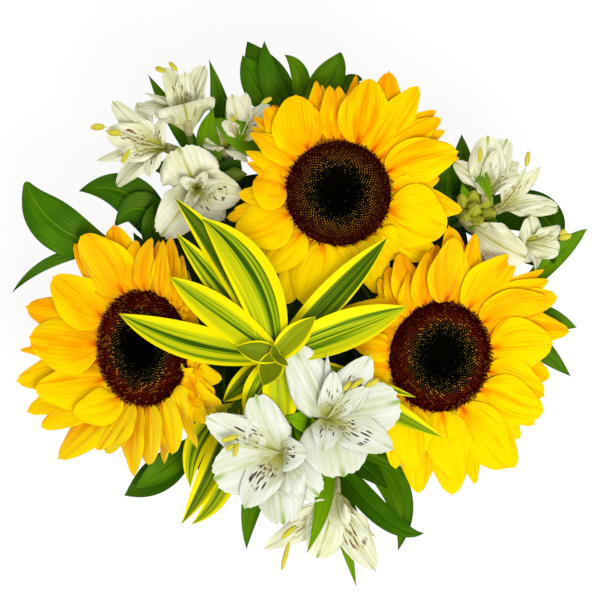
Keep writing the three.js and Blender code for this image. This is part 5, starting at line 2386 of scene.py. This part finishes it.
SUNFLOWERS = (
    Sunflower(
        "top", (23, 73, 0), 33, 5, 4, 72, 72,
        petals=(
            SeenPetal((296, 96), 45, 0, 0.95, (308, 150)),
            SeenPetal((330, 86), 20, 0.8, 0.5, (334, 141)),
            SeenPetal((339, 86), 17, 0.6, 0.5, (341, 141)),
            SeenPetal((316, 82), 16, 1.6, 0.3, (322, 140)), SeenPetal((322, 84), 12, 1.8, 0.3, None),
            SeenPetal((371, 79), 45, 0, 0.6, (358, 143)),
            SeenPetal((389, 73), 38, 1.3, 0.6, (370, 147)), SeenPetal((356, 76), 14, 1.9, 0.2, None),
            SeenPetal((418, 87), 32, 0.6, 0.6, (374, 150)),
            SeenPetal((435, 111), 24, 1.6, 0.3, (378, 155)),
            SeenPetal((440, 119), 27, 0.9, 0.4, (381, 158)),
            SeenPetal((444, 131), 20, 1.4, 0.3, (384, 163)),
            SeenPetal((457, 152), 38, 0.1, 0.9, (387, 173)), SeenPetal((459, 158), 14, 1.8, 0.2, None),
            SeenPetal((440, 178), 18, 1.0, 0.6, (390, 190)),
            SeenPetal((445, 229), 52, 0.3, 0.95, (385, 208)),
            SeenPetal((461, 210), 28, 1.4, 0.4, (392, 200)),
            SeenPetal((434, 256), 36, 1.5, 0.8, (380, 225)),
            SeenPetal((397, 257), 30, 0.9, 0.8, (372, 232)),
            SeenPetal((418, 257), 26, 1.8, 0.5, (378, 230)),
            SeenPetal((378, 294), 32, 1.2, 0.5, (362, 240)),
            SeenPetal((303, 303), 50, 0, 0.9, (322, 247)),
            SeenPetal((347, 273), 16, 0.3, 0.6, (336, 248)),
            SeenPetal((352, 275), 16, 0.5, 0.6, (346, 247)),
            SeenPetal((364, 268), 18, 0.4, 0.6, (357, 243)),
            SeenPetal((376, 262), 18, 0.5, 0.6, (366, 237)), SeenPetal((319, 309), 14, 1.8, 0.1, None),
            SeenPetal((310, 309), 12, 2.0, 0.1, None), SeenPetal((262, 272), 30, 0.8, 0.8, (298, 236)),
            SeenPetal((285, 303), 32, 1.6, 0.8, (310, 243)),
            SeenPetal((250, 262), 24, 1.7, 0.8, (290, 226)),
            SeenPetal((236, 234), 44, 0.1, 0.9, (290, 214)),
            SeenPetal((227, 217), 22, 1.0, 0.6, (289, 205)),
            SeenPetal((236, 210), 16, 1.5, 0.3, (289, 200)),
            SeenPetal((240, 195), 22, 1.3, 0.8, (288, 195)),
            SeenPetal((253, 180), 40, 0, 0.9, (289, 189)),
            SeenPetal((246, 151), 15, 0.7, 0.2, (290, 172)),
            SeenPetal((248, 164), 13, 0.9, 0.2, (288, 178)),
            SeenPetal((251, 134), 20, 0.3, 0.3, (297, 163)),
            SeenPetal((252, 127), 16, 1.3, 0.2, (300, 157)),
            SeenPetal((254, 117), 18, 1.6, 0.2, (302, 154)),
            SeenPetal((266, 109), 34, 0.9, 0.5, (303, 153)), SeenPetal((272, 106), 20, 1.6, 0.4, None),
        ),
        seed=11,
        disc_finish=DiscFinish(bead_tip=(0.66, 0.29, 0.012), rim_from=0.78, sparks=0.48),
    ),
    Sunflower(
        "left", (-94, -20, -8), 36, 38, 22, 184, 186,
        petals=(
            SeenPetal((82, 237), 47, 0, 0.9, (127, 298)),
            SeenPetal((73, 245), 26, 1.3, 0.4, (118, 300)),
            SeenPetal((54, 277), 44, 0.2, 0.8, (107, 319)),
            SeenPetal((52, 286), 24, 1.0, 0.6, (105, 325)),
            SeenPetal((27, 307), 36, 1.5, 1.0, (102, 328)), SeenPetal((30, 337), 52, 0, 0.95, (99, 344)),
            SeenPetal((21, 350), 18, 1.2, 0.1, (97, 350)), SeenPetal((36, 389), 39, 0, 0.9, (103, 380)),
            SeenPetal((18, 381), 36, 1.2, 0.7, (95, 362)),
            SeenPetal((28, 411), 34, 1.6, 0.6, (97, 380)),
            SeenPetal((41, 426), 34, 0.8, 0.6, (102, 390)),
            SeenPetal((74, 412), 31, 0, 0.9, (119, 401)),
            SeenPetal((58, 457), 30, 1.3, 0.4, (112, 402), lower=True),
            SeenPetal((81, 453), 16, 1.6, 0.2, (118, 405), lower=True),
            SeenPetal((94, 448), 18, 0.7, 0.5, (126, 405), lower=True),
            SeenPetal((104, 452), 27, 0.5, 0.7, (130, 406), lower=True),
            SeenPetal((125, 459), 24, 1.5, 0.2, (133, 408), lower=True),
            SeenPetal((136, 475), 21, 0.9, 0.2, (138, 409), lower=True),
            SeenPetal((149, 464), 33, 0.6, 0.4, (149, 410), lower=True),
            SeenPetal((172, 453), 32, 0.2, 0.8, (164, 405), lower=True),
            SeenPetal((166, 462), 18, 1.5, 0.2, (160, 407), lower=True),
            SeenPetal((195, 448), 14, 1.5, 0.2, (182, 400), lower=True),
            SeenPetal((183, 418), 30, -0.1, 0.9, (178, 394)),
            SeenPetal((113, 226), 38, 1.3, 0.7, (130, 293)),
            SeenPetal((134, 240), 22, 0.8, 0.5, (139, 285)),
            SeenPetal((150, 237), 19, 0.2, 0.5, (146, 290)),
            SeenPetal((157, 240), 14, 0.9, 0.5, (155, 288)),
            SeenPetal((164, 242), 15, 0.2, 0.6, (163, 292)),
            SeenPetal((174, 252), 16, 0.9, 0.6, (173, 300)),
            SeenPetal((205, 424), 28, 0.9, 0.9, (184, 398)),
            SeenPetal((221, 405), 26, 0.9, 0.8, (186, 390)),
            SeenPetal((170, 238), 20, 1.5, 0.5, (168, 292)),
            SeenPetal((182, 256), 19, 1.2, 0.5, (176, 298)),
            SeenPetal((187, 272), 20, 1.5, 0.5, (181, 306)),
            SeenPetal((222, 380), 26, 1.2, 0.6, (187, 374)),
            SeenPetal((214, 392), 25, 0.5, 0.7, (186, 384)),
            SeenPetal((210, 366), 20, 0.6, 0.5, (188, 362)),
            SeenPetal((214, 414), 26, 1.7, 0.6, (183, 392)),
        ),
        crumpled=(
            (338, 42, 15), (334, 50, 16), (328, 54, 15), (345, 48, 13), (8, 42, 13), (25, 40, 13),
        ),
        seed=12,
    ),
    Sunflower(
        "right", (84, -25, -2), 34.5, 24, 14, -15, 340,
        petals=(
            SeenPetal((453, 239), 43, 0, 0.6, (444, 301)),
            SeenPetal((449, 228), 36, 1.3, 0.8, (455, 298)),
            SeenPetal((427, 254), 24, 0.4, 0.7, (424, 301)),
            SeenPetal((411, 272), 20, 0.3, 0.7, (406, 307)),
            SeenPetal((402, 253), 31, 1.3, 0.8, (413, 303)),
            SeenPetal((377, 298), 22, 0.8, 0.5, (401, 308)),
            SeenPetal((343, 310), 20, 0.9, 0.6, (399, 315)),
            SeenPetal((475, 234), 22, 1.2, 0.5, (462, 298)),
            SeenPetal((514, 258), 40, 0.3, 0.9, (469, 307)),
            SeenPetal((497, 262), 24, 1.2, 0.6, (466, 303)),
            SeenPetal((543, 270), 16, 1.5, 0.2, (480, 311)),
            SeenPetal((547, 280), 24, 1.0, 0.4, (482, 315)),
            SeenPetal((556, 297), 38, 1.4, 0.9, (487, 322)),
            SeenPetal((549, 303), 36, 0.4, 0.9, (484, 320)),
            SeenPetal((569, 332), 38, 1.4, 0.4, (492, 335)),
            SeenPetal((552, 344), 45, 0, 0.9, (490, 347)),
            SeenPetal((549, 377), 34, 1.4, 0.7, (492, 362)),
            SeenPetal((543, 395), 34, 0.8, 0.9, (489, 371)),
            SeenPetal((543, 411), 42, 0.1, 0.8, (480, 388)),
            SeenPetal((520, 438), 28, 0.7, 0.4, (479, 395)),
            SeenPetal((534, 424), 18, 1.2, 0.9, (482, 392)),
            SeenPetal((505, 467), 44, 0.1, 0.9, (461, 405)),
            SeenPetal((515, 467), 36, 1.3, 0.9, (470, 402)),
            SeenPetal((474, 483), 22, 1.4, 0.3, (459, 410)),
            SeenPetal((460, 480), 42, 0.1, 0.5, (441, 411)),
            SeenPetal((453, 494), 42, 1.3, 0.7, (447, 414)),
            SeenPetal((415, 470), 36, 0.4, 0.8, (413, 404)),
            SeenPetal((419, 493), 38, 1.3, 0.5, (425, 410)),
            SeenPetal((396, 468), 24, 1.1, 0.8, (405, 402)),
            SeenPetal((388, 447), 26, 1.5, 0.6, (400, 396)), SeenPetal((352, 342), 22, 0.8, 0.6, None),
            SeenPetal((350, 370), 24, 0.9, 0.6, None), SeenPetal((357, 397), 24, 1.0, 0.6, None),
            SeenPetal((390, 266), 26, 1.6, 0.6, (405, 306)),
            SeenPetal((379, 281), 24, 1.9, 0.5, (401, 309)),
            SeenPetal((436, 246), 26, 1.7, 0.5, (436, 300)),
        ),
        seed=13,
    ),
)

CENTRE_FLOWERS = FlowerStem(
    "centre", 264, (2, -62, -52), (0.05, -0.3, 1),
    flowers=(
        WhiteFlower(
            "lower", (-14, -83, 14), (-0.3, -0.1, 0.94),
            outer=((110, 38, 13, 25), (202, 41, 8, 35), (276, 43, 7, 32), (315, 36, 9, 28)),
            inner=((152, 47, 12, 26), (2, 16, 15, 20)),
            flecked=((239, 36, 11, 21),),
            anthers=((-37, -72, -47, -75), (-37, -76, -39.5, -84.5), (-39, -77, -44, -80)),
            ripe=False,
        ),
        WhiteFlower(
            "upper", (17.5, -61, 18), (0.15, 0.05, 0.98),
            outer=((117, 48, 15, 28), (13, 44, 12, 37), (284, 37, 6, 41)),
            inner=(
                (56, 43, 17, 24), (40, 27, 16, 12), (84, 26, 18, 15), (92, 37, 14, 5),
                (258, 19, 15, 18),
            ),
            flecked=((334, 41, 12, 21),),
            anthers=((30, -43.5, 37.5, -38), (39, -42.5, 47, -38), (26, -45, 30, -39.5)),
            ripe=False,
        ),
        WhiteFlower(
            "low", (21, -115, -14), (-0.05, -0.85, 0.52),
            outer=((252, 34, -4, 26), (318, 26, 2, 14), (290, 13, 7, 15)),
            inner=((213, 49, -4, 23), (322, 30, 1, 9), (190, 25, 5, 13)),
            flecked=((300, 45, -6, 24),),
            anthers=((-2.5, -126.5, -11, -134), (-6.5, -136, -11, -153)),
        ),
    ),
    leaves=(
        Leaf(read_at(307, 553, -2), 12, 12, over=read_at(325, 478), at=1.0, tint=0.95),
        Leaf((75, -132, -30), 15, 4, over=(44.4, -116.4), at=0.92, tint=0.5, blunt=-0.3),
        Leaf((59.4, -142.8, -38), 19, 4, over=(52.8, -96.6), at=0.86, tint=0.6),
        Leaf((34, -164.4, -40), 9, 6, over=(21, -117), at=0.92, tint=0.9),
        Leaf(read_at(369, 548, -34), 6, 4, over=read_at(340, 485), at=0.95, tint=0.25),
        Leaf(read_at(388, 489, -24), 14, 3, over=read_at(350, 455), at=0.95, tint=0.3, blunt=0.6),
        Leaf(read_at(246, 552, -40), 15, 6, over=read_at(260, 480), at=0.8, tint=0.6),
        Leaf(read_at(427, 475, -12), 6, 2, over=read_at(370, 458), at=1.0, tint=0.75, blunt=-0.6),
        # The next four leaves lie in the flowers' shade and are painted paler green: painted light.
        Leaf((-6, -50, 15), 14, 20, over=(4, -62), at=1.0, tint=1.25, blunt=0.4),
        Leaf((-9, -61, 18), 15, 21, over=(6, -64), roll=14, at=1.0, tint=1.1, blunt=0.5),
        Leaf((3, -82, 15), 13, 20, over=(2, -66), roll=-10, at=1.0, tint=1.1, blunt=0.3),
        Leaf((12, -66, 16), 9, 20, over=(4, -64), at=1.0, tint=1.3, blunt=0.3),
        Leaf((8, -50, 6), 18, 2, over=(3, -60), at=1.0, tint=0.95),
        Leaf((-5, -82, 4), 17, 2, over=(1, -72), at=1.0, tint=0.9),
    ),
    seed=100,
)

LEFT_FLOWERS = FlowerStem(
    "left", 128, (-56, 84, -46), (-0.4, 0.5, 1),
    flowers=(
        WhiteFlower(
            "outer", (-88, 102, -12), (-0.8, 0.15, 0.55),
            outer=((133, 37, 2, 18), (226, 34, -8, 16), (115, 29, -8, 17)),
            inner=(
                (164, 29, 8, 20), (193, 35, 0, 9), (258, 18, 10, 12), (74, 15, 12, 11),
                (200, 20, 4, 14),
            ),
            anthers=(
                (-117, 113, -125.5, 112.5), (-107.5, 109, -115, 109.5), (-102.5, 99, -107, 91),
            ),
        ),
        WhiteFlower(
            "top", (-69, 125, -10), (-0.12, 0.84, 0.53),
            outer=((176, 30, -2, 17), (64, 28, 4, 16), (284, -3, 14, 34)),
            inner=((116, 26, 7, 16), (91, 20, 9, 13), (157, 26, -6, 7)),
            anthers=((-81, 146, -86.7, 148.3), (-73.7, 146.3, -78.3, 151.4)),
            heel=17.0,
        ),
        WhiteFlower(
            "inner", (-62, 76, -10), (0.05, -0.15, 0.98),
            outer=((114, 27, 9, 33), (233, 37, 0, 25)),
            inner=(
                (-8, 27, 0, 26), (-50, 25, -1, 18), (12, 15, 13, 9), (242, 15, 9, 7), (150, 9, 12, 8),
                (60, 10, 12, 8),
            ),
        ),
        WhiteFlower(
            "far", (-36, 110, -19), (-0.05, 0.55, 0.83),
            outer=((102, 24, 4, 12), (38, 25, 3, 18)),
            inner=((82, 24, 1, 12), (14, 17, 6, 10), (150, 12, 7, 9)),
            anthers=((-23, 127, -17, 130.5),),
            loose_anthers=1,
        ),
        WhiteFlower(
            "back", (-47, 106, -26), (-0.2, 0.6, 0.75),
            outer=((150, 13, 5, 13), (196, 13, 3, 11)),
            inner=((95, 13, 2, 10), (-40, 20, 6, 8)),
        ),
    ),
    leaves=(
        Leaf(read_at(208, 57, -34), 16, 4, over=read_at(221, 122), at=0.8, tint=0.5, blunt=-0.8),
        Leaf(read_at(147, 73, -30), 11, 6, at=0.9, tint=0.6),
        Leaf(read_at(212, 110, -2), 15, 4, over=read_at(208, 146), at=0.8, tint=0.85),
        Leaf(read_at(147, 167, -38), 14, 0, over=read_at(182, 170), at=0.85, tint=0.3),
        Leaf(read_at(240, 182, -36), 14, 0, at=0.8, tint=0.25),
        Leaf(read_at(240, 160, -22), 18, 3, over=read_at(230, 172), at=0.85, tint=0.4),
        Leaf(read_at(224, 98, -26), 15, 3, over=read_at(222, 140), at=0.85, tint=0.35),
    ),
    buds=((-32, 85, -20), (-37, 76, -24)),
    bud_tint=0.05,
    seed=110,
)

RIGHT_FLOWERS = FlowerStem(
    "right", 36, (103, 58, -44), (0.6, 0.3, 1),
    flowers=(
        WhiteFlower(
            "top", (112.5, 78, -8), (0.05, 0.6, 0.8),
            outer=((89, 30, 6, 21), (67, 31, 3, 17), (142, 25, 1, 14)),
            inner=((36, 23, 4, 15), (20, 19, 9, 14), (78, 20, 12, 10)),
            anthers=((107.5, 91.5, 108, 100.5),),
        ),
        WhiteFlower(
            "outer", (126, 67, -12), (0.6, 0.3, 0.74),
            outer=((-3, 31, -2, 13), (6, 24, 3, 10)),
            inner=((50, 28, 5, 10), (66, 22, 8, 12), (110, 12, 9, 10)),
            anthers=((135.5, 89, 137, 98),),
        ),
        WhiteFlower(
            "low", (109, 48, -11), (0.6, -0.55, 0.58),
            outer=((-28, 30, 11, 23), (-62, 23, -14, 13)),
            inner=((-95, 16, -12, 12), (14, 16, -9, 12)),
        ),
        WhiteFlower(
            "side", (142, 43, -20), (0.8, -0.1, 0.58),
            outer=((104, 17, 7, 17), (-14, 16, 0, 15), (-88, 16, -4, 20)),
            inner=((34, 18, 3, 14), (-125, 14, 2, 15)),
            anthers=((155.5, 46, 163, 48), (156, 49, 160, 50.5)),
        ),
    ),
    leaves=(
        Leaf(read_at(463, 134, -28), 17, 4, over=read_at(462, 182), at=0.86, tint=0.4),
        Leaf(read_at(449, 163, -22), 13, 3, over=read_at(443, 197), at=0.8, tint=0.55),
        Leaf(read_at(491, 205, 8), 10, 8, over=read_at(476, 176), at=0.9, tint=1.0),
        Leaf((155.4, 38.4, -40), 23, 4, over=(138.6, 63), at=0.8, tint=0.25, blunt=0.6),
        Leaf(read_at(553, 243, -30), 5, 2, over=read_at(540, 262), at=0.9, tint=0.3),
        Leaf(read_at(500, 186, -24), 20, 3, over=read_at(474, 200), at=0.86, tint=0.3, blunt=0.5),
        Leaf((98, 78, -8), 8, 4, at=1.0, tint=1.2),
        Leaf((103, 53, -10), 8, 4, at=1.0, tint=1.2),
        Leaf((119, 57, -12), 7, 4, at=1.0, tint=1.1),
    ),
    buds=(
        (97, 73, -11), (99, 60, -9), (109, 56, -7), (118, 62, -11), (116, 71, -13),
        (105, 75, -9), (106, 66, -3),
    ),
    bud_tint=1.05,
    seed=120,
)

ROSETTE = StripedRosette(
    leaves={
        "west": Leaf((-109, 1, 6), 21, 4, 5, level=26, tint=0.6, margin=-0.3),
        "north_west": Leaf((-78, 23, 18), 20, 3, level=29, tint=0.5, margin=-0.3),
        "far_west": Leaf((-74, 49, 13), 15, 2, level=16, tint=-0.2, margin=-0.2),
        "far_north": Leaf((-75, 70, 10), 18, 4, -5, level=19, tint=-0.8, margin=-0.3),
        "north": Leaf((-59, 58, 15), 26, 8, -10, level=24, tint=0.3, margin=-0.4),
        "north_east": Leaf((52, 46, 14), 18, 2, level=18, tint=-0.8, margin=0.7),
        "east": Leaf((64, 5, 24), 23, 2, level=24, tint=0.2, margin=0.8),
        "south": Leaf((-10, -70, 12), 20, 2, level=22, tint=1.3),
        "south_west": Leaf((-33, -59, 8), 17, 2, level=20, tint=0.6),
        "low_south_west": Leaf((-46, -52, -2), 15, 2, level=8, tint=-1.0),
        "south_east": Leaf((85, -73, 14), 16, 1, level=11, tint=0.0, margin=0.9),
        "low_east": Leaf((69, -49, 21), 9, 0, level=14, tint=0.2),
    },
    heart=(
        Leaf((9, -1, 38), 15, -3, tint=1.7),
        Leaf((-38, -19, 37), 13, -2, tint=2.0),
        Leaf((-22, -42, 36), 15, -3, tint=2.0),
        Leaf((-7, -30, 39), 6, 1, tint=2.0, roll=12),
        Leaf((-16, -18, 40), 6, 1, tint=2.0, roll=-12),
    ),
)

SPRAYS = (
    Spray(
        "striped_shoot", 240, (-43, -60, -22), (-0.5, -0.6, 0.6),
        leaves=(
            Leaf((-66, -104, -12), 14, 3, over=(-61, -75), at=0.97, tint=-0.1),
            Leaf((-71.4, -126, -20), 15, 4, over=(-51.6, -90), at=0.96, tint=-0.8, margin=-0.8),
            Leaf((-65.4, -126.6, -29), 14, 3, over=(-44.4, -98.4), at=0.9, tint=-0.5),
        ),
        kind=LeafKind.STRAP, radius=2.6, seed=61,
    ),
    Spray(
        "leaf_spray_left", 150, (-112, 40, -40), (-1, 0.3, 0),
        leaves=(
            Leaf((-166.2, 81, -34), 25, 8, over=(-144.6, 52.2), at=0.97, tint=0.5, blunt=0.7),
            Leaf(read_at(10, 292, -36), 7, 6, over=read_at(57, 258), at=0.97, tint=0.4),
            Leaf((-133.8, 75, -34), 25, 6, over=(-99.6, 69.6), at=0.76, tint=0.3),
            Leaf(read_at(114, 225, -26), 20, 4, over=read_at(146, 211), at=0.72, tint=0.3, blunt=0.5),
            Leaf(read_at(153, 203, -22), 11, 4, over=read_at(150, 235), at=0.7, tint=0.35),
        ),
        seed=62,
    ),
    Spray(
        "leaf_spray_top", 106, (-2, 122, -38), (0, 1, 0.1),
        leaves=(
            Leaf((-31.8, 165.6, -38), 25, 5, over=(-18, 139.8), at=0.94, tint=0.4),
            Leaf((-34.8, 157.2, -32), 22, 4, over=(-21.6, 135.6), at=0.94, tint=0.5),
            Leaf((-21.6, 166.2, -28), 14, 6, over=(-16.2, 137.4), at=0.97, tint=0.45),
            Leaf(read_at(284, 52, -33), 11, 4, over=read_at(301, 78), at=0.97, tint=0.65),
            Leaf((24.6, 159, -34), 19, 4, over=(15.6, 140.4), at=0.97, tint=0.6),
            Leaf(read_at(361, 79, -40), 13, 2, over=read_at(344, 88), at=0.95, tint=0.4, blunt=0.6),
            Leaf(read_at(213, 117, -14), 19, 3, over=read_at(252, 140), at=0.8, tint=0.75),
        ),
        seed=63,
    ),
    Spray(
        "leaf_spray_right", 14, (132, 6, -42), (1, 0.1, 0),
        leaves=(
            Leaf((174, 52.2, -34), 12, 3, over=(153.6, 34.2), at=0.97, tint=0.7),
            Leaf(read_at(580, 328, -40), 14, 3, at=0.97, tint=0.6),
            Leaf(read_at(574, 377, -44), 14, 3, at=0.9, tint=0.5),
        ),
        seed=64,
    ),
    Spray(
        "leaf_spray_low", 220, (-66, -80, -36), (-0.6, -0.8, 0),
        leaves=(
            Leaf((-106.8, -109.8, -36), 21, 4, over=(-84, -95.4), at=0.97, tint=0.3),
            Leaf(read_at(134, 490, -28), 15, 6, over=read_at(166, 466), at=0.93, tint=0.55),
        ),
        seed=65,
    ),
)

# Tints near 0 paint these leaves near-black green: painted shade in the gaps.
UNDERGROWTH = Undergrowth({
    "top": (
        Leaf((52, -6, -34), 52, 6, at=0.55, tint=-0.1),
        Leaf((-8, 0, -34), 50, 6, at=0.5, tint=-0.1),
        Leaf((-30, 40, -38), 50, 6, at=0.5, tint=-0.1),
        Leaf((84, 60, -40), 46, 4, at=0.6, tint=0.0),
        Leaf((-20, 106, -44), 40, 4, at=0.6, tint=0.0),
        Leaf((-60, 72, -50), 50, 4, at=0.5, tint=-0.1),
        Leaf((84, 20, -44), 44, 4, at=0.5, tint=-0.1),
    ),
    "left": (
        Leaf((-56, 44, -40), 50, 4, at=0.55, tint=-0.1),
        Leaf((-46, -62, -44), 50, 6, at=0.5, tint=-0.1),
        Leaf((-84, 66, -50), 44, 4, at=0.6, tint=0.1),
        Leaf((-96, -78, -56), 40, 4, at=0.7, tint=0.1),
        Leaf((-30, -20, -36), 50, 4, at=0.5, tint=-0.1),
        Leaf((-92, 62, -44), 30, 4, at=0.8, tint=0.0),
        Leaf((-60, -84, -46), 42, 4, at=0.6, tint=-0.1),
        Leaf((-59, -106, -46), 19, 4, at=0.6, tint=0.1),
        Leaf((-101, 50, -34), 20, 4, at=0.8, tint=0.1),
    ),
    "right": (
        Leaf((30, -20, -36), 50, 6, at=0.5, tint=-0.1),
        Leaf((30, -92, -42), 46, 4, at=0.5, tint=-0.1),
        Leaf((100, 54, -44), 50, 4, at=0.6, tint=-0.1),
        Leaf((116, -66, -56), 36, 4, at=0.7, tint=0.0),
        Leaf((-20, -84, -46), 46, 4, at=0.45, tint=-0.1),
        Leaf((56, -40, -34), 46, 4, at=0.6, tint=-0.1),
        Leaf((128, 42, -48), 34, 4, at=0.75, tint=-0.1),
        Leaf((-20, 8, -36), 44, 4, at=0.55, tint=-0.1),
        Leaf((110, 28, -34), 22, 4, at=0.7, tint=0.2),
    ),
})


@dataclass(frozen=True)
class Studio:
    """Plain pale floor, soft light and a camera straight above the bunch, in metres.

    Sky, key and glow are how bright the sky, the lamp and the floor's own light are. The floor
    lies a little below the ground, clear of the stems' feet.
    """

    floor: float = 4.0
    floor_level: float = -0.0004
    floor_greys: tuple[Colour, Colour] = ((0.14, 0.14, 0.14), (0.12, 0.12, 0.12))
    frame_width: float = 2 * PHOTO_MIDDLE * PIXEL * METRES
    shift: float = CAMERA_SHIFT * METRES
    distance: float = CAMERA_HEIGHT * METRES
    farthest: float = 50.0
    sensor: float = 36.0
    sky: float = 0.70
    key: float = 26.0
    glow: float = 0.86
    lamp: Triple = (0.45, -0.75, 2.1)
    lamp_size: float = 0.9

    def build(self) -> None:
        """Makes the floor, the lights and the camera."""
        self.build_floor()
        self.build_lights()
        data = bpy.data.cameras.new("camera")
        data.sensor_width = self.sensor
        data.lens = self.sensor * self.distance / self.frame_width
        data.clip_end = self.farthest
        camera = bpy.data.objects.new("camera", data)
        camera.location = (0.0, self.shift, self.distance + FACE_HEIGHT * METRES)
        bpy.context.scene.collection.objects.link(camera)
        bpy.context.scene.camera = camera
        bpy.context.scene.view_settings.view_transform = "Standard"

    def build_floor(self) -> None:
        """Makes the floor, which isn't part of the bunch."""
        side, level = self.floor, self.floor_level
        mesh = bpy.data.meshes.new("floor")
        corners = [
            (-side, -side, level), (side, -side, level), (side, side, level), (-side, side, level),
        ]
        mesh.from_pydata(corners, [], [(0, 1, 2, 3)])
        shader = Shader("floor")
        grain = shader.grain(40.0)
        colour = shader.blend(grain * 0.1, *self.floor_greys)
        fixed = {"Emission Color": (1.0, 1.0, 1.0, 1.0), "Emission Strength": self.glow}
        place_mesh("floor", mesh, shader.surface(colour, grain * 0.1 + 0.7, grain, 0.05, fixed))

    def build_lights(self) -> None:
        """Makes an even sky and one large soft lamp above the near right side."""
        world = bpy.data.worlds.new("sky")
        world.use_nodes = True
        background = world.node_tree.nodes["Background"]
        background.inputs["Color"].default_value = (1.0, 1.0, 1.0, 1.0)
        background.inputs["Strength"].default_value = self.sky
        bpy.context.scene.world = world
        data = bpy.data.lights.new("key", "AREA")
        data.energy = self.key
        data.size = self.lamp_size
        lamp = bpy.data.objects.new("key", data)
        place = Vector(self.lamp)
        lamp.location = place
        lamp.rotation_mode = "QUATERNION"
        lamp.rotation_quaternion = (-place).to_track_quat("-Z", "Y")
        bpy.context.scene.collection.objects.link(lamp)


def main() -> None:
    """Builds the bunch, group by group, and the studio round it."""
    logging.basicConfig(level=logging.INFO, format="%(message)s")
    finishes = Finishes()
    for bloom in SUNFLOWERS:
        bloom.build(finishes)
    for group in (CENTRE_FLOWERS, LEFT_FLOWERS, RIGHT_FLOWERS):
        group.build(finishes)
    ROSETTE.build(finishes)
    for spray in SPRAYS:
        spray.build(finishes)
    UNDERGROWTH.build(SUNFLOWERS, finishes)
    Tie().build(finishes)
    Studio().build()


if __name__ == "__main__":
    main()
